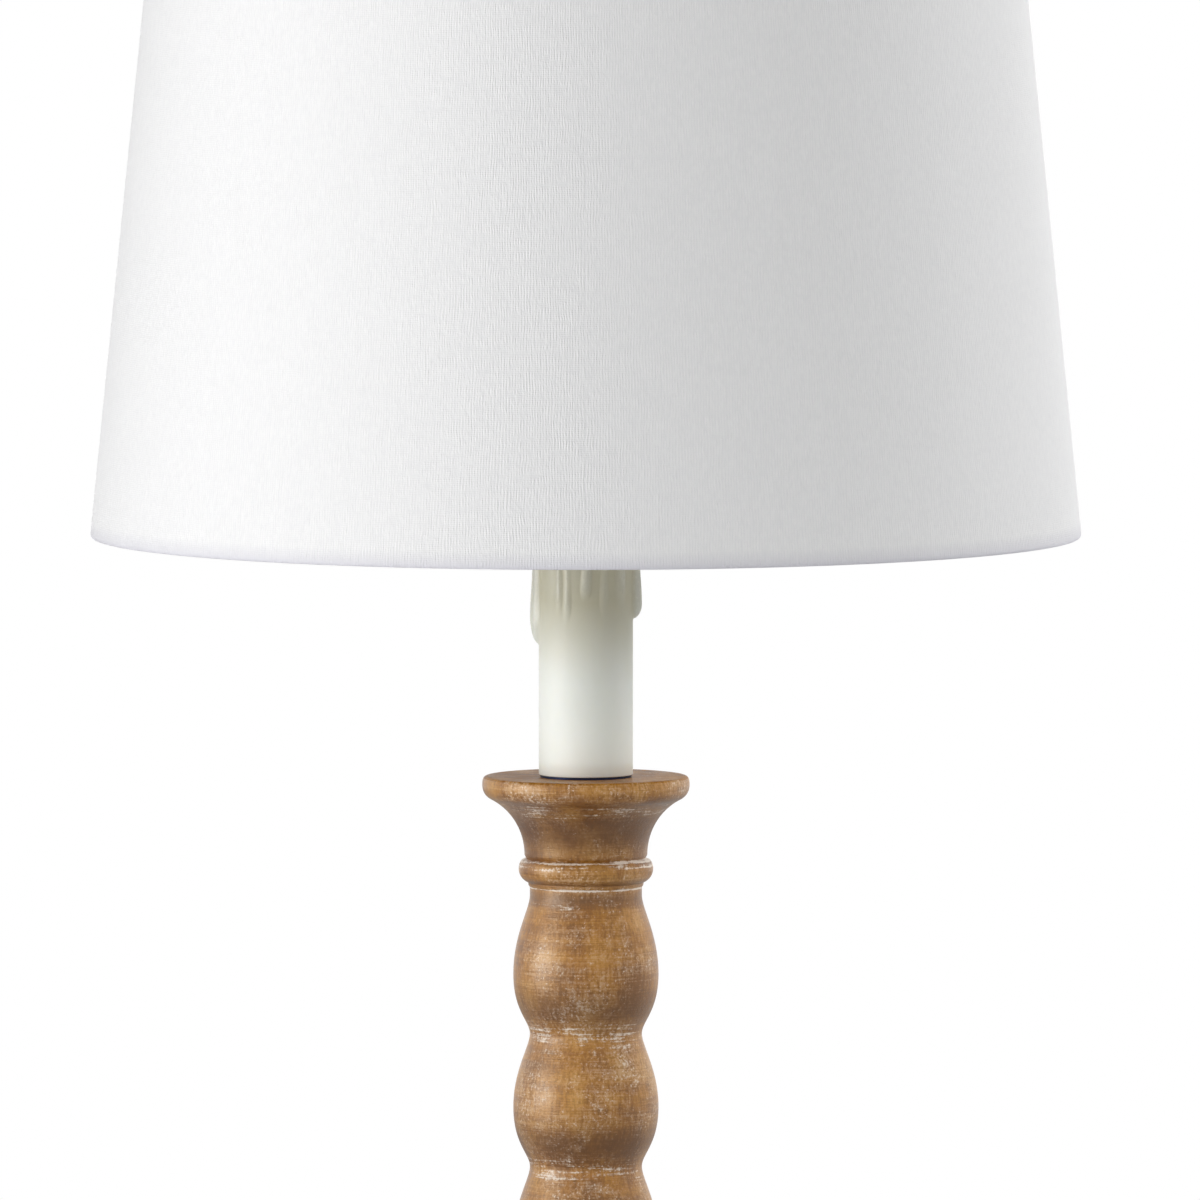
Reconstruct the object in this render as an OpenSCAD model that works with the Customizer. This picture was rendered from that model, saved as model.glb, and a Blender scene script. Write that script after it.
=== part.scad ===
// Buffet lamp: a turned bobbin column with a candle cup, a drip candle sleeve and a tapered drum shade.
// Millimetres, +Z up. The origin is on the floor, on the lamp's axis. The front looks towards -Y.

/* [Foot] */
// Widest radius of the foot
foot_r = 76; // [70:1:90]
// Height of the wooden foot, without its felt
foot_h = 65; // [60:1:80]
// Height of the rounded plinth at the bottom of the foot
plinth_h = 15; // [14:0.5:17]
// Thickness of the felt pad
felt_t = 2; // [1:0.5:4]
// Radius of the hollow under the foot
hollow_r = 52; // [40:1:53]
// Depth of the hollow under the foot
hollow_h = 20; // [18:0.5:22]
// Thickness of the iron weight in the hollow
weight_h = 9; // [6:0.5:10]
// Radius of the ring bead near the top of the foot
foot_bead_r = 26; // [23:0.5:29]

/* [Cord inlet] */
// Radius of the bushing's bore
inlet_r = 3.2; // [2.6:0.1:3.6]
// Wall of the bushing's tube
inlet_wall = 1.2; // [0.8:0.1:1.4]
// Length of the bushing's tube in the wood
inlet_depth = 14; // [8:1:18]
// Radius of the bushing's flange
inlet_flange_r = 6.4; // [5.6:0.1:7]
// Thickness of the bushing's flange
inlet_flange_t = 2; // [1:0.5:3]

/* [Column] */
// Number of bobbins
bobbins = 8; // [4:1:10]
// Height of one bobbin, from neck to neck
bobbin_pitch = 44.5; // [38:0.5:54]
// Height of the top bobbin
top_bobbin_h = 46.3; // [40:0.1:54]
// Radius of a bobbin at its widest
belly_r = 24.25; // [21:0.25:28]
// Radius of the necks between the bobbins
neck_r = 18.7; // [16:0.1:20]
// Distance from a bobbin's lower neck up to its widest place
belly_rise = 19.8; // [16:0.1:26]
// Height of the collar between the top neck and the candle cup
collar_h = 2.7; // [1:0.1:6]
// Radius of the bore through the wood
wood_bore_r = 6; // [5.6:0.1:7]
// Radius of the turned tenons that join the wooden pieces
tenon_r = 11; // [9:0.5:13]
// Length of those tenons
tenon_h = 12; // [8:1:16]

/* [Candle cup] */
// Height of the cup, from its joint with the column to its rim
cup_h = 37.1; // [34:0.1:44]
// Radius of the cup's lip
lip_r = 34.6; // [30:0.1:40]
// Height of the cup's lip
lip_h = 7.8; // [6:0.1:10]
// Radius of the cup's stem, above its ring bead
stem_r = 20.5; // [18:0.1:22]
// Radius of the cup's ring bead
bead_r = 22.7; // [20.5:0.1:25]
// Height of the ring bead
bead_h = 7.7; // [6:0.1:9]
// How far the cup's top dips towards the sleeve
dish_h = 0.3; // [0.1:0.1:1]

/* [Candle sleeve] */
// Outer radius of the sleeve
sleeve_r = 15.7; // [14:0.1:18]
// Height of the sleeve
sleeve_h = 102.5; // [90:0.5:120]
// Wall of the sleeve
sleeve_wall = 1.3; // [0.8:0.1:2]
// Thickness of the washer that the sleeve stands on
seat_ring_t = 0.8; // [0.6:0.1:1.6]
// Radius of a full wax drip's stem
drip_r = 2.5; // [1.8:0.1:3]
// Thickness of the sleeve's cap
sleeve_cap_t = 1.2; // [0.8:0.1:2]

/* [Pipe and nuts] */
// Outer radius of the threaded pipe
pipe_r = 5.1; // [4.7:0.1:5.3]
// Wall of the pipe
pipe_wall = 1.7; // [1:0.1:2.2]
// Height of the nuts on the pipe
nut_h = 5; // [3:0.5:6]
// Width of those nuts across their flats
nut_flats = 14.3; // [13:0.1:17]
// Thickness of the washer in the base
washer_t = 1.5; // [1:0.1:2.5]

/* [Harp] */
// Height of the harp, from its saddle to the seat of the shade
harp_h = 203; // [180:1:255]
// Radius of the harp's wire
harp_wire_r = 1.8; // [1.4:0.1:2.2]
// Distance from the axis to each leg of the harp
leg_x = 29; // [26:0.5:34]
// Height of the saddle's upright arms
saddle_arm_h = 18; // [12:1:24]
// Thickness of the saddle's strip
saddle_t = 1.6; // [1:0.1:2.2]
// Width of the saddle's strip
saddle_w = 12; // [9:0.5:14]
// Length of the collars that lock the harp
ferrule_h = 12; // [9:0.5:14]
// Wall of those collars
ferrule_wall = 1.3; // [0.8:0.1:1.8]
// Lift of those collars
ferrule_lift = 12; // [8:1:14]
// Radius of the stud on the harp's crown
stud_r = 3.1; // [2.4:0.1:3.4]
// Length of that stud above its seat
stud_h = 12; // [9:0.5:14]

/* [Socket] */
// Height of the socket, from the saddle to its rim
socket_h = 57; // [54:1:64]
// Outer radius of the socket's shell
shell_r = 16.5; // [16.2:0.1:18]
// Wall of the shell
shell_wall = 0.5; // [0.4:0.1:0.6]
// Height of the socket's cap
socket_cap_h = 20; // [18:0.5:21]
// Height of the switch knob's axis above the saddle
knob_z = 26; // [25:0.5:27]
// Radius of the switch knob
knob_r = 6.5; // [5:0.5:9]
// Length of the switch knob
knob_l = 12; // [9:0.5:16]

/* [Bulb] */
// Radius of the bulb at its widest
bulb_r = 30; // [24:0.5:32]
// Length of the bulb
bulb_h = 108; // [98:1:114]

/* [Shade] */
// Outer radius of the shade at its bottom
shade_bottom_r = 165.2; // [150:0.1:190]
// Outer radius of the shade at its top
shade_top_r = 139.6; // [125:0.1:165]
// Height of the shade
shade_h = 254; // [240:1:280]
// Thickness of the cloth
cloth_t = 0.5; // [0.4:0.1:0.8]
// Thickness of the stiff backing
liner_t = 0.4; // [0.4:0.1:0.8]
// Radius of the shade's ring wires
ring_r = 1.1; // [0.9:0.1:1.5]
// Height of the cloth that is turned to the inside
hem_h = 10; // [8:0.5:14]
// How far the shade's hub lies below its top edge
spider_drop = 26; // [20:0.5:32]
// Radius of the spider's arms
arm_r = 1.6; // [1.2:0.1:1.8]

/* [Finial] */
// Height of the finial's threaded base
finial_base_h = 12; // [11:0.5:15]
// Radius of the finial's knob
finial_r = 9; // [8:0.5:12]
// Height of the finial's knob
finial_h = 22; // [18:0.5:28]

/* [Hidden] */
$fn = 96;

// Clearances
wood_fit = 0.15;
thread_gap = 0.05;
run_gap = 0.08;
rest_gap = 0.1;
glue_gap = 0.3;
slip_gap = 0.25;
// How far a welded joint in a wire stands proud of it
weld = 0.05;

// Steps along one stretch of a turned curve
curve_steps = 6;
bobbin_steps = 7;

// Heights of the joints between the pieces
z_foot = felt_t;
z_column = z_foot + foot_h;
z_neck = z_column + (bobbins - 1) * bobbin_pitch + top_bobbin_h;
z_joint = z_neck + collar_h;
z_cup = z_joint + cup_h;
z_seat = z_cup - dish_h;
z_sleeve = z_seat + seat_ring_t;
z_sleeve_top = z_sleeve + sleeve_h;
z_saddle = z_sleeve_top + sleeve_cap_t;
z_cap = z_saddle + saddle_t;
z_hub = z_saddle + harp_h + rest_gap;
hub_t = 1.6;
z_finial = z_hub + hub_t + rest_gap;
z_shade_top = z_hub + hub_t / 2 + spider_drop;
z_rim = z_shade_top - shade_h;

// Wooden joints
socket_r = tenon_r + wood_fit;
socket_depth = tenon_h + 1;

// Foot
foot_edge = 3;
foot_step = 8;
foot_step_h = 2;
foot_bead_h = 8;
foot_bead_drop = 13;
foot_groove = 2;
z_foot_bead = foot_h - foot_bead_drop - foot_bead_h;
weight_r = hollow_r - 1.5;
weight_bore_r = pipe_r + 0.5;
z_weight = z_foot + hollow_h - weight_h;
z_base_washer = z_weight - washer_t;
z_base_nut = z_base_washer - nut_h;
base_washer_r = 12;
z_pipe = z_base_nut - 1;
z_pipe_top = z_cap + 9;
inlet_z = z_foot + plinth_h / 2;
inlet_seat_y = foot_r - 3.5;

// Candle cup
groove_r = stem_r - 0.6;
bead_bottom = 2;
bead_top = bead_bottom + bead_h - 0.6;
cove_bottom = bead_top + 1.8;
lip_bottom = cup_h - lip_h;
lip_reach = 3.2;

// Candle sleeve
sleeve_bore_r = sleeve_r - sleeve_wall;
seat_ring_r = sleeve_r - 0.5;
cap_skirt_h = 6;
drip_seat_r = sleeve_r - 0.5;
wax_rim_h = 9;
wax_rim_t = 1;
// How far below the sleeve's top the drips start
drip_top = 0.6;
// How far a drip's tear reaches above its widest place
tear_h = 17;
// Each drip: how far round it is from the front, how far it runs down, its share of the full width,
// how far above its end it is widest
DRIPS = [[-90, 59, 1.08, 9.5], [-46, 51, 0.95, 8], [-17, 47, 1.3, 7], [48, 49, 0.75, 8], [90, 50.5, 1.1, 5],
    [116, 40, 0.9, 8], [144, 54, 1, 9], [173, 44, 0.85, 6], [203, 50, 1.05, 9], [238, 38, 0.9, 7]];

// Saddle, harp and collars
bend_in = 2;
saddle_hub_r = 10;
pin_h = 6;
pin_root = 2;
z_shoulder = z_saddle + saddle_arm_h;
z_leg = z_shoulder + pin_h + rest_gap;
leg_straight = ferrule_h + ferrule_lift - pin_h + 2;
ferrule_bore_r = harp_wire_r + run_gap;
z_ferrule = z_shoulder + rest_gap;
flare = 20;
flare_r = 40;
crown_x = 9;
crown_r = 6.5;
stud_seat_r = 5.5;
stud_seat_t = 2;
rivet_r = 2;
rivet_head_r = 3.4;
rivet_head_t = 1.2;
z_flare = z_leg + leg_straight;
z_crown = z_saddle + harp_h - stud_seat_t - harp_wire_r;
// The flare leans out, a straight stretch follows it, and the shoulder turns in to the level crown
flare_x = leg_x + flare_r * (1 - cos(flare));
flare_top = z_flare + flare_r * sin(flare);
shoulder_r = (z_crown - flare_top - (crown_x - flare_x) / tan(flare)) / (1 + 1 / sin(flare));
rise = (crown_x - flare_x + shoulder_r * cos(flare)) / sin(flare);
shoulder_x = flare_x + rise * sin(flare);
shoulder_z = flare_top + rise * cos(flare);

// Socket
socket_neck_r = 8;
socket_neck_h = 7;
socket_cap_wall = 0.7;
socket_cap_r = shell_r + slip_gap + socket_cap_wall;
dome_top = socket_cap_h - 6;
shell_foot = dome_top + 0.4;
liner_r = shell_r - shell_wall - slip_gap;
paper_t = 0.5;
body_r = liner_r - paper_t - slip_gap;
body_foot = shell_foot + 1;
body_top = 34;
shaft_r = 2.4;
shaft_hole_r = 3.9;
shaft_depth = 3.5;
knob_gap = 3;
flutes = 16;
flute_r = 0.8;
terminal_z = body_foot + 9;
terminal_r = 3;
terminal_t = 1.6;
terminal_shank_r = 1.4;
terminal_pocket = 2.6;
bulb_base_r = 13.1;
bulb_gap = 0.4;
screw_wall = 0.4;
screw_r = bulb_base_r + bulb_gap;
screw_h = 21;
screw_lip_r = 8.5;
set_screw_r = 1.5;

// Bulb, with its heights above the saddle's top
contact_t = 0.5;
contact_rise = 2;
bulb_z = body_top + contact_rise + contact_t + rest_gap;
bulb_skirt = 7;
bulb_collar = 24;
bulb_wall = 0.9;
glass_r = bulb_base_r - 0.9;

// Shade: how deep each layer lies inside the cloth's outer face
liner_in = cloth_t + glue_gap;
liner_out = liner_in + liner_t;
ring_in = liner_out + slip_gap + ring_r;
hem_w = ring_in + ring_r + slip_gap + cloth_t;
hem_edge = 1.8;
hem_turn = 3.4;
hem_round = 0.4;
ring_z = cloth_t + slip_gap + ring_r;
hub_r = 12.5;
hub_hole_r = stud_r + run_gap;
arm_start = 10;
arm_bend = 10;
arm_lift = 40;
ARMS = [90, 210, 330];
arm_end_r = shade_r(shade_h - ring_z) - ring_in;
arm_rise = spider_drop - ring_z - arm_bend * (1 - cos(arm_lift));
arm_slope = arm_rise / sin(arm_lift);
arm_bend_x = arm_end_r - arm_slope * cos(arm_lift) - arm_bend * sin(arm_lift);
arm_slope_x = arm_bend_x + arm_bend * sin(arm_lift);
arm_slope_z = arm_bend * (1 - cos(arm_lift));
// The sloping end stops at the ring wire, square to its own slope
arm_end_gap = ring_r + rest_gap;
notch_w = 2 * arm_r + 1;
notch_l = hem_h + 2;
notch_foot = shade_h - hem_h - 1;
notch_top = shade_h - cloth_t;

// Finial
finial_flange_r = 7.5;
finial_flange_t = 2;
finial_waist_r = 5;
finial_foot_r = 6;

// The points of a cubic curve from a to d after a itself, in n steps
function curve(a, b, c, d, n = curve_steps) = [for (i = [1:n]) let (t = i / n, s = 1 - t)
    s * s * s * a + 3 * s * s * t * b + 3 * s * t * t * c + t * t * t * d];

// A bobbin's outline from its lower neck, left out, to its upper neck
function bobbin(low, high) = let (widest = low + belly_rise, drop = high - widest) concat(
    curve([neck_r, low], [neck_r, low + 0.2 * belly_rise], [belly_r, low + 0.38 * belly_rise],
        [belly_r, widest], bobbin_steps),
    curve([belly_r, widest], [belly_r, high - 0.5 * drop], [neck_r, high - 0.18 * drop], [neck_r, high],
        bobbin_steps));

// Height of the neck under bobbin i, counted from the foot
function neck_z(i) = z_column + min(i, bobbins - 1) * bobbin_pitch + max(0, i - bobbins + 1) * top_bobbin_h;

// Outer radius of the shade at a height above its rim
function shade_r(z) = shade_bottom_r - (shade_bottom_r - shade_top_r) * z / shade_h;

// A point of the shade's section: along its side from one edge, and inwards from its outer face
function shade_point(edge, way, along, depth) =
    let (z = edge + way * along) [shade_r(z) - depth, z];

// The turned cloth at one edge of the shade, open round the ring wire
function hem_outline(edge, way) = [
    shade_point(edge, way, 0, hem_round),
    shade_point(edge, way, hem_round, 0),
    shade_point(edge, way, hem_edge, 0),
    shade_point(edge, way, hem_edge, cloth_t),
    shade_point(edge, way, cloth_t, cloth_t),
    shade_point(edge, way, cloth_t, hem_w - cloth_t),
    shade_point(edge, way, hem_turn, hem_w - cloth_t),
    shade_point(edge, way, hem_h, liner_out + slip_gap),
    shade_point(edge, way, hem_h, liner_out + slip_gap + cloth_t),
    shade_point(edge, way, hem_turn, hem_w),
    shade_point(edge, way, hem_round, hem_w),
    shade_point(edge, way, 0, hem_w - hem_round)];

module turned(points) rotate_extrude() polygon(points);

module at(z) translate([0, 0, z]) children();

module tube(outer, inner, h) turned([[inner, 0], [outer, 0], [outer, h], [inner, h]]);

module nut(h) difference() {
    cylinder(r = nut_flats / sqrt(3), h = h, $fn = 6);
    at(-1) cylinder(r = pipe_r + thread_gap, h = h + 2);
}

// An arc of round wire in the XZ plane
module wire_arc(centre, bend, wire, from, sweep) translate([centre[0], 0, centre[1]])
    rotate([90, 0, 0]) rotate([0, 0, from]) rotate_extrude(angle = sweep)
        translate([bend, 0]) circle(r = wire, $fn = 32);

// The weld between two stretches of wire in the XZ plane that lean the same way from upright
module wire_joint(x, z, lean, wire) translate([x, 0, z]) rotate([0, lean, 0])
    sphere(r = wire + weld, $fn = 32);

module along_y(y, z) translate([0, y, z]) rotate([-90, 0, 0]) children();

module felt_pad() color("darkolivegreen") cylinder(r = foot_r - foot_edge - 1, h = felt_t);

function foot_outline() = concat(
    [[hollow_r, 0], [foot_r - foot_edge, 0]],
    curve([foot_r - foot_edge, 0], [foot_r - 1, 0], [foot_r, 2], [foot_r, plinth_h * 0.45]),
    curve([foot_r, plinth_h * 0.45], [foot_r, plinth_h * 0.85], [foot_r - 2, plinth_h],
        [foot_r - foot_step + 2, plinth_h]),
    [[foot_r - foot_step, plinth_h], [foot_r - foot_step, plinth_h + foot_step_h]],
    curve([foot_r - foot_step, plinth_h + foot_step_h], [foot_r - foot_step - 4, plinth_h + 20],
        [foot_bead_r + 10, plinth_h + 7], [foot_bead_r - foot_groove, z_foot_bead - 1], 10),
    [[foot_bead_r - foot_groove, z_foot_bead]],
    curve([foot_bead_r - foot_groove, z_foot_bead], [foot_bead_r + 1, z_foot_bead + 1],
        [foot_bead_r + 1, z_foot_bead + foot_bead_h - 1],
        [foot_bead_r - foot_groove, z_foot_bead + foot_bead_h], 8),
    [[foot_bead_r - foot_groove, z_foot_bead + foot_bead_h + 1]],
    curve([foot_bead_r - foot_groove, z_foot_bead + foot_bead_h + 1],
        [neck_r + 1, z_foot_bead + foot_bead_h + 2], [neck_r, foot_h - 5], [neck_r, foot_h]),
    [[socket_r, foot_h], [socket_r, foot_h - socket_depth], [wood_bore_r, foot_h - socket_depth],
        [wood_bore_r, hollow_h], [hollow_r, hollow_h]]);

module foot() color("peru") difference() {
    at(z_foot) turned(foot_outline());
    along_y(hollow_r - 5, inlet_z) cylinder(r = inlet_r + inlet_wall + rest_gap, h = foot_r);
    along_y(inlet_seat_y, inlet_z) cylinder(r = inlet_flange_r + rest_gap, h = foot_r);
}

module base_weight() color("dimgray") at(z_weight) tube(weight_r, weight_bore_r, weight_h);

module base_washer() color("silver") at(z_base_washer) tube(base_washer_r, pipe_r + run_gap, washer_t);

module base_nut() color("silver") at(z_base_nut) nut(nut_h);

module cord_bushing() color("goldenrod") along_y(inlet_seat_y - inlet_depth, inlet_z)
    turned([[inlet_r, 0], [inlet_r + inlet_wall, 0], [inlet_r + inlet_wall, inlet_depth],
        [inlet_flange_r, inlet_depth], [inlet_flange_r, inlet_depth + inlet_flange_t / 2],
        [inlet_flange_r - 1, inlet_depth + inlet_flange_t], [inlet_r, inlet_depth + inlet_flange_t]]);

module column() color("peru") turned(concat(
    [[wood_bore_r, z_column - tenon_h], [tenon_r, z_column - tenon_h], [tenon_r, z_column],
        [neck_r, z_column]],
    [for (i = [0:bobbins - 1]) each bobbin(neck_z(i), neck_z(i + 1))],
    [[neck_r, z_joint], [socket_r, z_joint], [socket_r, z_joint - socket_depth],
        [wood_bore_r, z_joint - socket_depth]]));

function cup_outline() = concat(
    [[wood_bore_r, -tenon_h], [tenon_r, -tenon_h], [tenon_r, 0], [neck_r, 0], [neck_r + 0.4, 0.6],
        [neck_r + 0.6, bead_bottom - 0.4]],
    curve([neck_r + 0.6, bead_bottom - 0.4], [bead_r + 0.1, bead_bottom + 1],
        [bead_r + 0.5, bead_top - 2], [stem_r + 0.9, bead_top], 8),
    [[groove_r, bead_top + 0.7], [stem_r, cove_bottom]],
    curve([stem_r, cove_bottom], [stem_r + 0.1, cove_bottom + 7.7],
        [stem_r + 4, lip_bottom - 3.8], [lip_r - lip_reach, lip_bottom], 9),
    curve([lip_r - lip_reach, lip_bottom], [lip_r - 1, lip_bottom + 1],
        [lip_r, lip_bottom + lip_h * 0.35], [lip_r, lip_bottom + lip_h * 0.64]),
    curve([lip_r, lip_bottom + lip_h * 0.64], [lip_r, cup_h - 1.1], [lip_r - 0.4, cup_h - 0.2],
        [lip_r - 1.3, cup_h], 4),
    [[seat_ring_r + 1, cup_h - dish_h], [wood_bore_r, cup_h - dish_h]]);

module candle_cup() color("peru") at(z_joint) turned(cup_outline());

module seat_ring() color("darkslategray") at(z_seat) tube(seat_ring_r, pipe_r + run_gap, seat_ring_t);

module cup_nut() color("silver") at(z_sleeve) nut(nut_h);

module lamp_pipe() color("silver") at(z_pipe) tube(pipe_r, pipe_r - pipe_wall, z_pipe_top - z_pipe);

// One drip of wax: a stem that rounds off under the rim, swells into a tear and closes on the sleeve
module drip(azimuth, run, share, tip) {
    stem = drip_r * share;
    tear = stem * 1.28;
    rotate([0, 0, azimuth]) translate([0, -drip_seat_r, z_sleeve_top - run]) turned(concat(
        [[0, 0]],
        curve([0, 0], [tear * 0.8, tip / 6], [tear, tip * 0.45], [tear, tip]),
        curve([tear, tip], [tear, tip + tear_h / 3], [stem, tip + tear_h / 2], [stem, tip + tear_h], 4),
        [[stem * 0.92, run - drip_top - stem]],
        curve([stem * 0.92, run - drip_top - stem], [stem * 0.9, run - drip_top - stem * 0.4],
            [stem * 0.5, run - drip_top], [0, run - drip_top], 4)));
}

module candle_sleeve() color("ivory") difference() {
    union() {
        at(z_sleeve) cylinder(r = sleeve_r, h = sleeve_h);
        turned(concat([[0, z_sleeve_top - wax_rim_h], [sleeve_r, z_sleeve_top - wax_rim_h]],
            curve([sleeve_r, z_sleeve_top - wax_rim_h], [sleeve_r + 0.2, z_sleeve_top - 6],
                [sleeve_r + wax_rim_t, z_sleeve_top - 5], [sleeve_r + wax_rim_t, z_sleeve_top - 2.5]),
            [[sleeve_r + wax_rim_t / 2, z_sleeve_top], [0, z_sleeve_top]]));
        for (d = DRIPS) drip(d[0], d[1], d[2], d[3]);
    }
    at(z_sleeve - 1) cylinder(r = sleeve_bore_r, h = sleeve_h + 2);
}

module sleeve_cap() color("goldenrod") at(z_sleeve_top) turned([
    [pipe_r + run_gap, -1], [sleeve_bore_r - 1.2, -1], [sleeve_bore_r - 1.2, -cap_skirt_h],
    [sleeve_bore_r - slip_gap, -cap_skirt_h], [sleeve_bore_r - slip_gap, 0], [sleeve_r, 0],
    [sleeve_r, sleeve_cap_t - 0.4], [sleeve_r - 0.4, sleeve_cap_t], [pipe_r + run_gap, sleeve_cap_t]]);

// The right half of the saddle: strip, bend, upright and the pin that its collar locks
module saddle_side() {
    inside = leg_x - saddle_t / 2;
    z_bend = z_saddle + saddle_t + bend_in;
    translate([0, -saddle_w / 2, z_saddle]) cube([inside - bend_in, saddle_w, saddle_t]);
    translate([inside - bend_in, 0, z_bend]) rotate([90, 0, 0]) rotate([0, 0, -90])
        rotate_extrude(angle = 90) translate([bend_in, -saddle_w / 2]) square([saddle_t, saddle_w]);
    translate([inside, -saddle_w / 2, z_bend]) cube([saddle_t, saddle_w, z_shoulder - z_bend]);
    translate([leg_x, 0, z_shoulder - pin_root]) cylinder(r = harp_wire_r, h = pin_h + pin_root);
}

module harp_saddle() color("goldenrod") difference() {
    union() {
        at(z_saddle) cylinder(r = saddle_hub_r, h = saddle_t);
        saddle_side();
        mirror([1, 0, 0]) saddle_side();
    }
    at(z_saddle - 1) cylinder(r = pipe_r + run_gap, h = saddle_t + 2);
}

module harp_side() {
    translate([leg_x, 0, z_leg]) cylinder(r = harp_wire_r, h = leg_straight, $fn = 32);
    wire_arc([leg_x + flare_r, z_flare], flare_r, harp_wire_r, 180 - flare, flare);
    translate([flare_x, 0, flare_top]) rotate([0, flare, 0])
        cylinder(r = harp_wire_r, h = rise, $fn = 32);
    wire_arc([shoulder_x - shoulder_r * cos(flare), shoulder_z + shoulder_r * sin(flare)], shoulder_r,
        harp_wire_r, -flare, 90 + flare);
    at(z_crown) rotate([0, 90, 0]) cylinder(r = harp_wire_r, h = crown_x, $fn = 32);
    wire_joint(leg_x, z_flare, 0, harp_wire_r);
    wire_joint(flare_x, flare_top, flare, harp_wire_r);
    wire_joint(shoulder_x, shoulder_z, flare, harp_wire_r);
    wire_joint(crown_x, z_crown, 90, harp_wire_r);
}

module harp() color("goldenrod") difference() {
    union() {
        harp_side();
        mirror([1, 0, 0]) harp_side();
        at(z_crown - harp_wire_r) cylinder(r = crown_r, h = 2 * harp_wire_r);
    }
    at(z_crown - harp_wire_r - 1) cylinder(r = rivet_r + thread_gap, h = 2 * harp_wire_r + 2);
}

module harp_stud() color("goldenrod") at(z_crown) turned([
    [0, -harp_wire_r - rivet_head_t], [rivet_head_r - 0.8, -harp_wire_r - rivet_head_t],
    [rivet_head_r, -harp_wire_r], [rivet_r, -harp_wire_r], [rivet_r, harp_wire_r],
    [stud_seat_r, harp_wire_r], [stud_seat_r, harp_wire_r + stud_seat_t],
    [stud_r, harp_wire_r + stud_seat_t], [stud_r, harp_wire_r + stud_seat_t + stud_h - 0.6],
    [stud_r - 0.6, harp_wire_r + stud_seat_t + stud_h], [0, harp_wire_r + stud_seat_t + stud_h]]);

module ferrule(x) color("goldenrod") translate([x, 0, z_ferrule]) turned([
    [ferrule_bore_r, 0], [ferrule_bore_r + ferrule_wall, 0],
    [ferrule_bore_r + ferrule_wall, ferrule_h - 1], [ferrule_bore_r + ferrule_wall - 0.5, ferrule_h],
    [ferrule_bore_r, ferrule_h]]);

module harp_ferrule_left() ferrule(-leg_x);

module harp_ferrule_right() ferrule(leg_x);

module socket_cap() color("goldenrod") difference() {
    at(z_cap) turned(concat(
        [[pipe_r + thread_gap, 0], [socket_neck_r, 0], [socket_neck_r, socket_neck_h]],
        curve([socket_neck_r, socket_neck_h], [socket_cap_r - 3, socket_neck_h],
            [socket_cap_r, socket_neck_h + 3], [socket_cap_r, dome_top]),
        [[socket_cap_r, socket_cap_h], [socket_cap_r - socket_cap_wall, socket_cap_h],
            [socket_cap_r - socket_cap_wall, dome_top]],
        curve([socket_cap_r - socket_cap_wall, dome_top], [socket_cap_r - socket_cap_wall, socket_neck_h + 3.6],
            [socket_cap_r - 3.6, socket_neck_h + socket_cap_wall],
            [socket_neck_r - socket_cap_wall, socket_neck_h + socket_cap_wall]),
        [[pipe_r + thread_gap, socket_neck_h + socket_cap_wall]]));
    along_y(0, z_cap + socket_neck_h / 2) cylinder(r = set_screw_r + thread_gap, h = 2 * socket_neck_r);
}

module socket_set_screw() color("silver")
    along_y(pipe_r + rest_gap, z_cap + socket_neck_h / 2) cylinder(r = set_screw_r, h = 4);

module shaft_way(r) rotate([0, 0, 180]) along_y(0, z_cap + knob_z) cylinder(r = r, h = 2 * shell_r);

module socket_shell() color("goldenrod") difference() {
    at(z_cap) turned(concat(
        [[shell_r - shell_wall, shell_foot], [shell_r, shell_foot], [shell_r, socket_h - 2]],
        curve([shell_r, socket_h - 2], [shell_r + 0.9, socket_h - 2], [shell_r + 0.9, socket_h],
            [shell_r, socket_h], 4),
        [[shell_r - shell_wall, socket_h]]));
    shaft_way(shaft_hole_r);
}

module socket_liner() color("tan") difference() {
    at(z_cap + shell_foot) tube(liner_r, liner_r - paper_t, socket_h - shell_foot - 0.5);
    shaft_way(shaft_hole_r);
}

// The insulator, with a bore for the switch's shaft and a flat pocket for each terminal
module socket_body() color("saddlebrown") difference() {
    at(z_cap + body_foot) cylinder(r = body_r, h = body_top - body_foot);
    rotate([0, 0, 180]) along_y(shaft_depth, z_cap + knob_z)
        cylinder(r = shaft_r + run_gap, h = body_r);
    for (side = [90, -90]) rotate([0, 0, side]) {
        along_y(body_r - terminal_pocket, z_cap + terminal_z) cylinder(r = terminal_r + 0.5, h = body_r);
        along_y(body_r - terminal_pocket - 4, z_cap + terminal_z)
            cylinder(r = terminal_shank_r + thread_gap, h = body_r);
    }
}

module terminal_screws() color("gold") for (side = [90, -90]) rotate([0, 0, side]) {
    along_y(body_r - terminal_pocket, z_cap + terminal_z) cylinder(r = terminal_r, h = terminal_t);
    along_y(body_r - terminal_pocket - 3.5, z_cap + terminal_z) cylinder(r = terminal_shank_r, h = 3.5);
}

module screw_shell() color("gold") at(z_cap + body_top) turned([
    [screw_lip_r, 0], [screw_r + screw_wall, 0], [screw_r + screw_wall, screw_h],
    [screw_r, screw_h], [screw_r, screw_wall], [screw_lip_r, screw_wall]]);

// A brass tongue that lies on the insulator and rises to meet the bulb
module centre_contact() color("gold") at(z_cap + body_top) {
    translate([-6, -2.5, 0]) cube([9, 5, contact_t]);
    translate([-6, -2.5, 0]) cube([contact_t, 5, contact_rise]);
    translate([-6, -2.5, contact_rise]) cube([9, 5, contact_t]);
}

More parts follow.
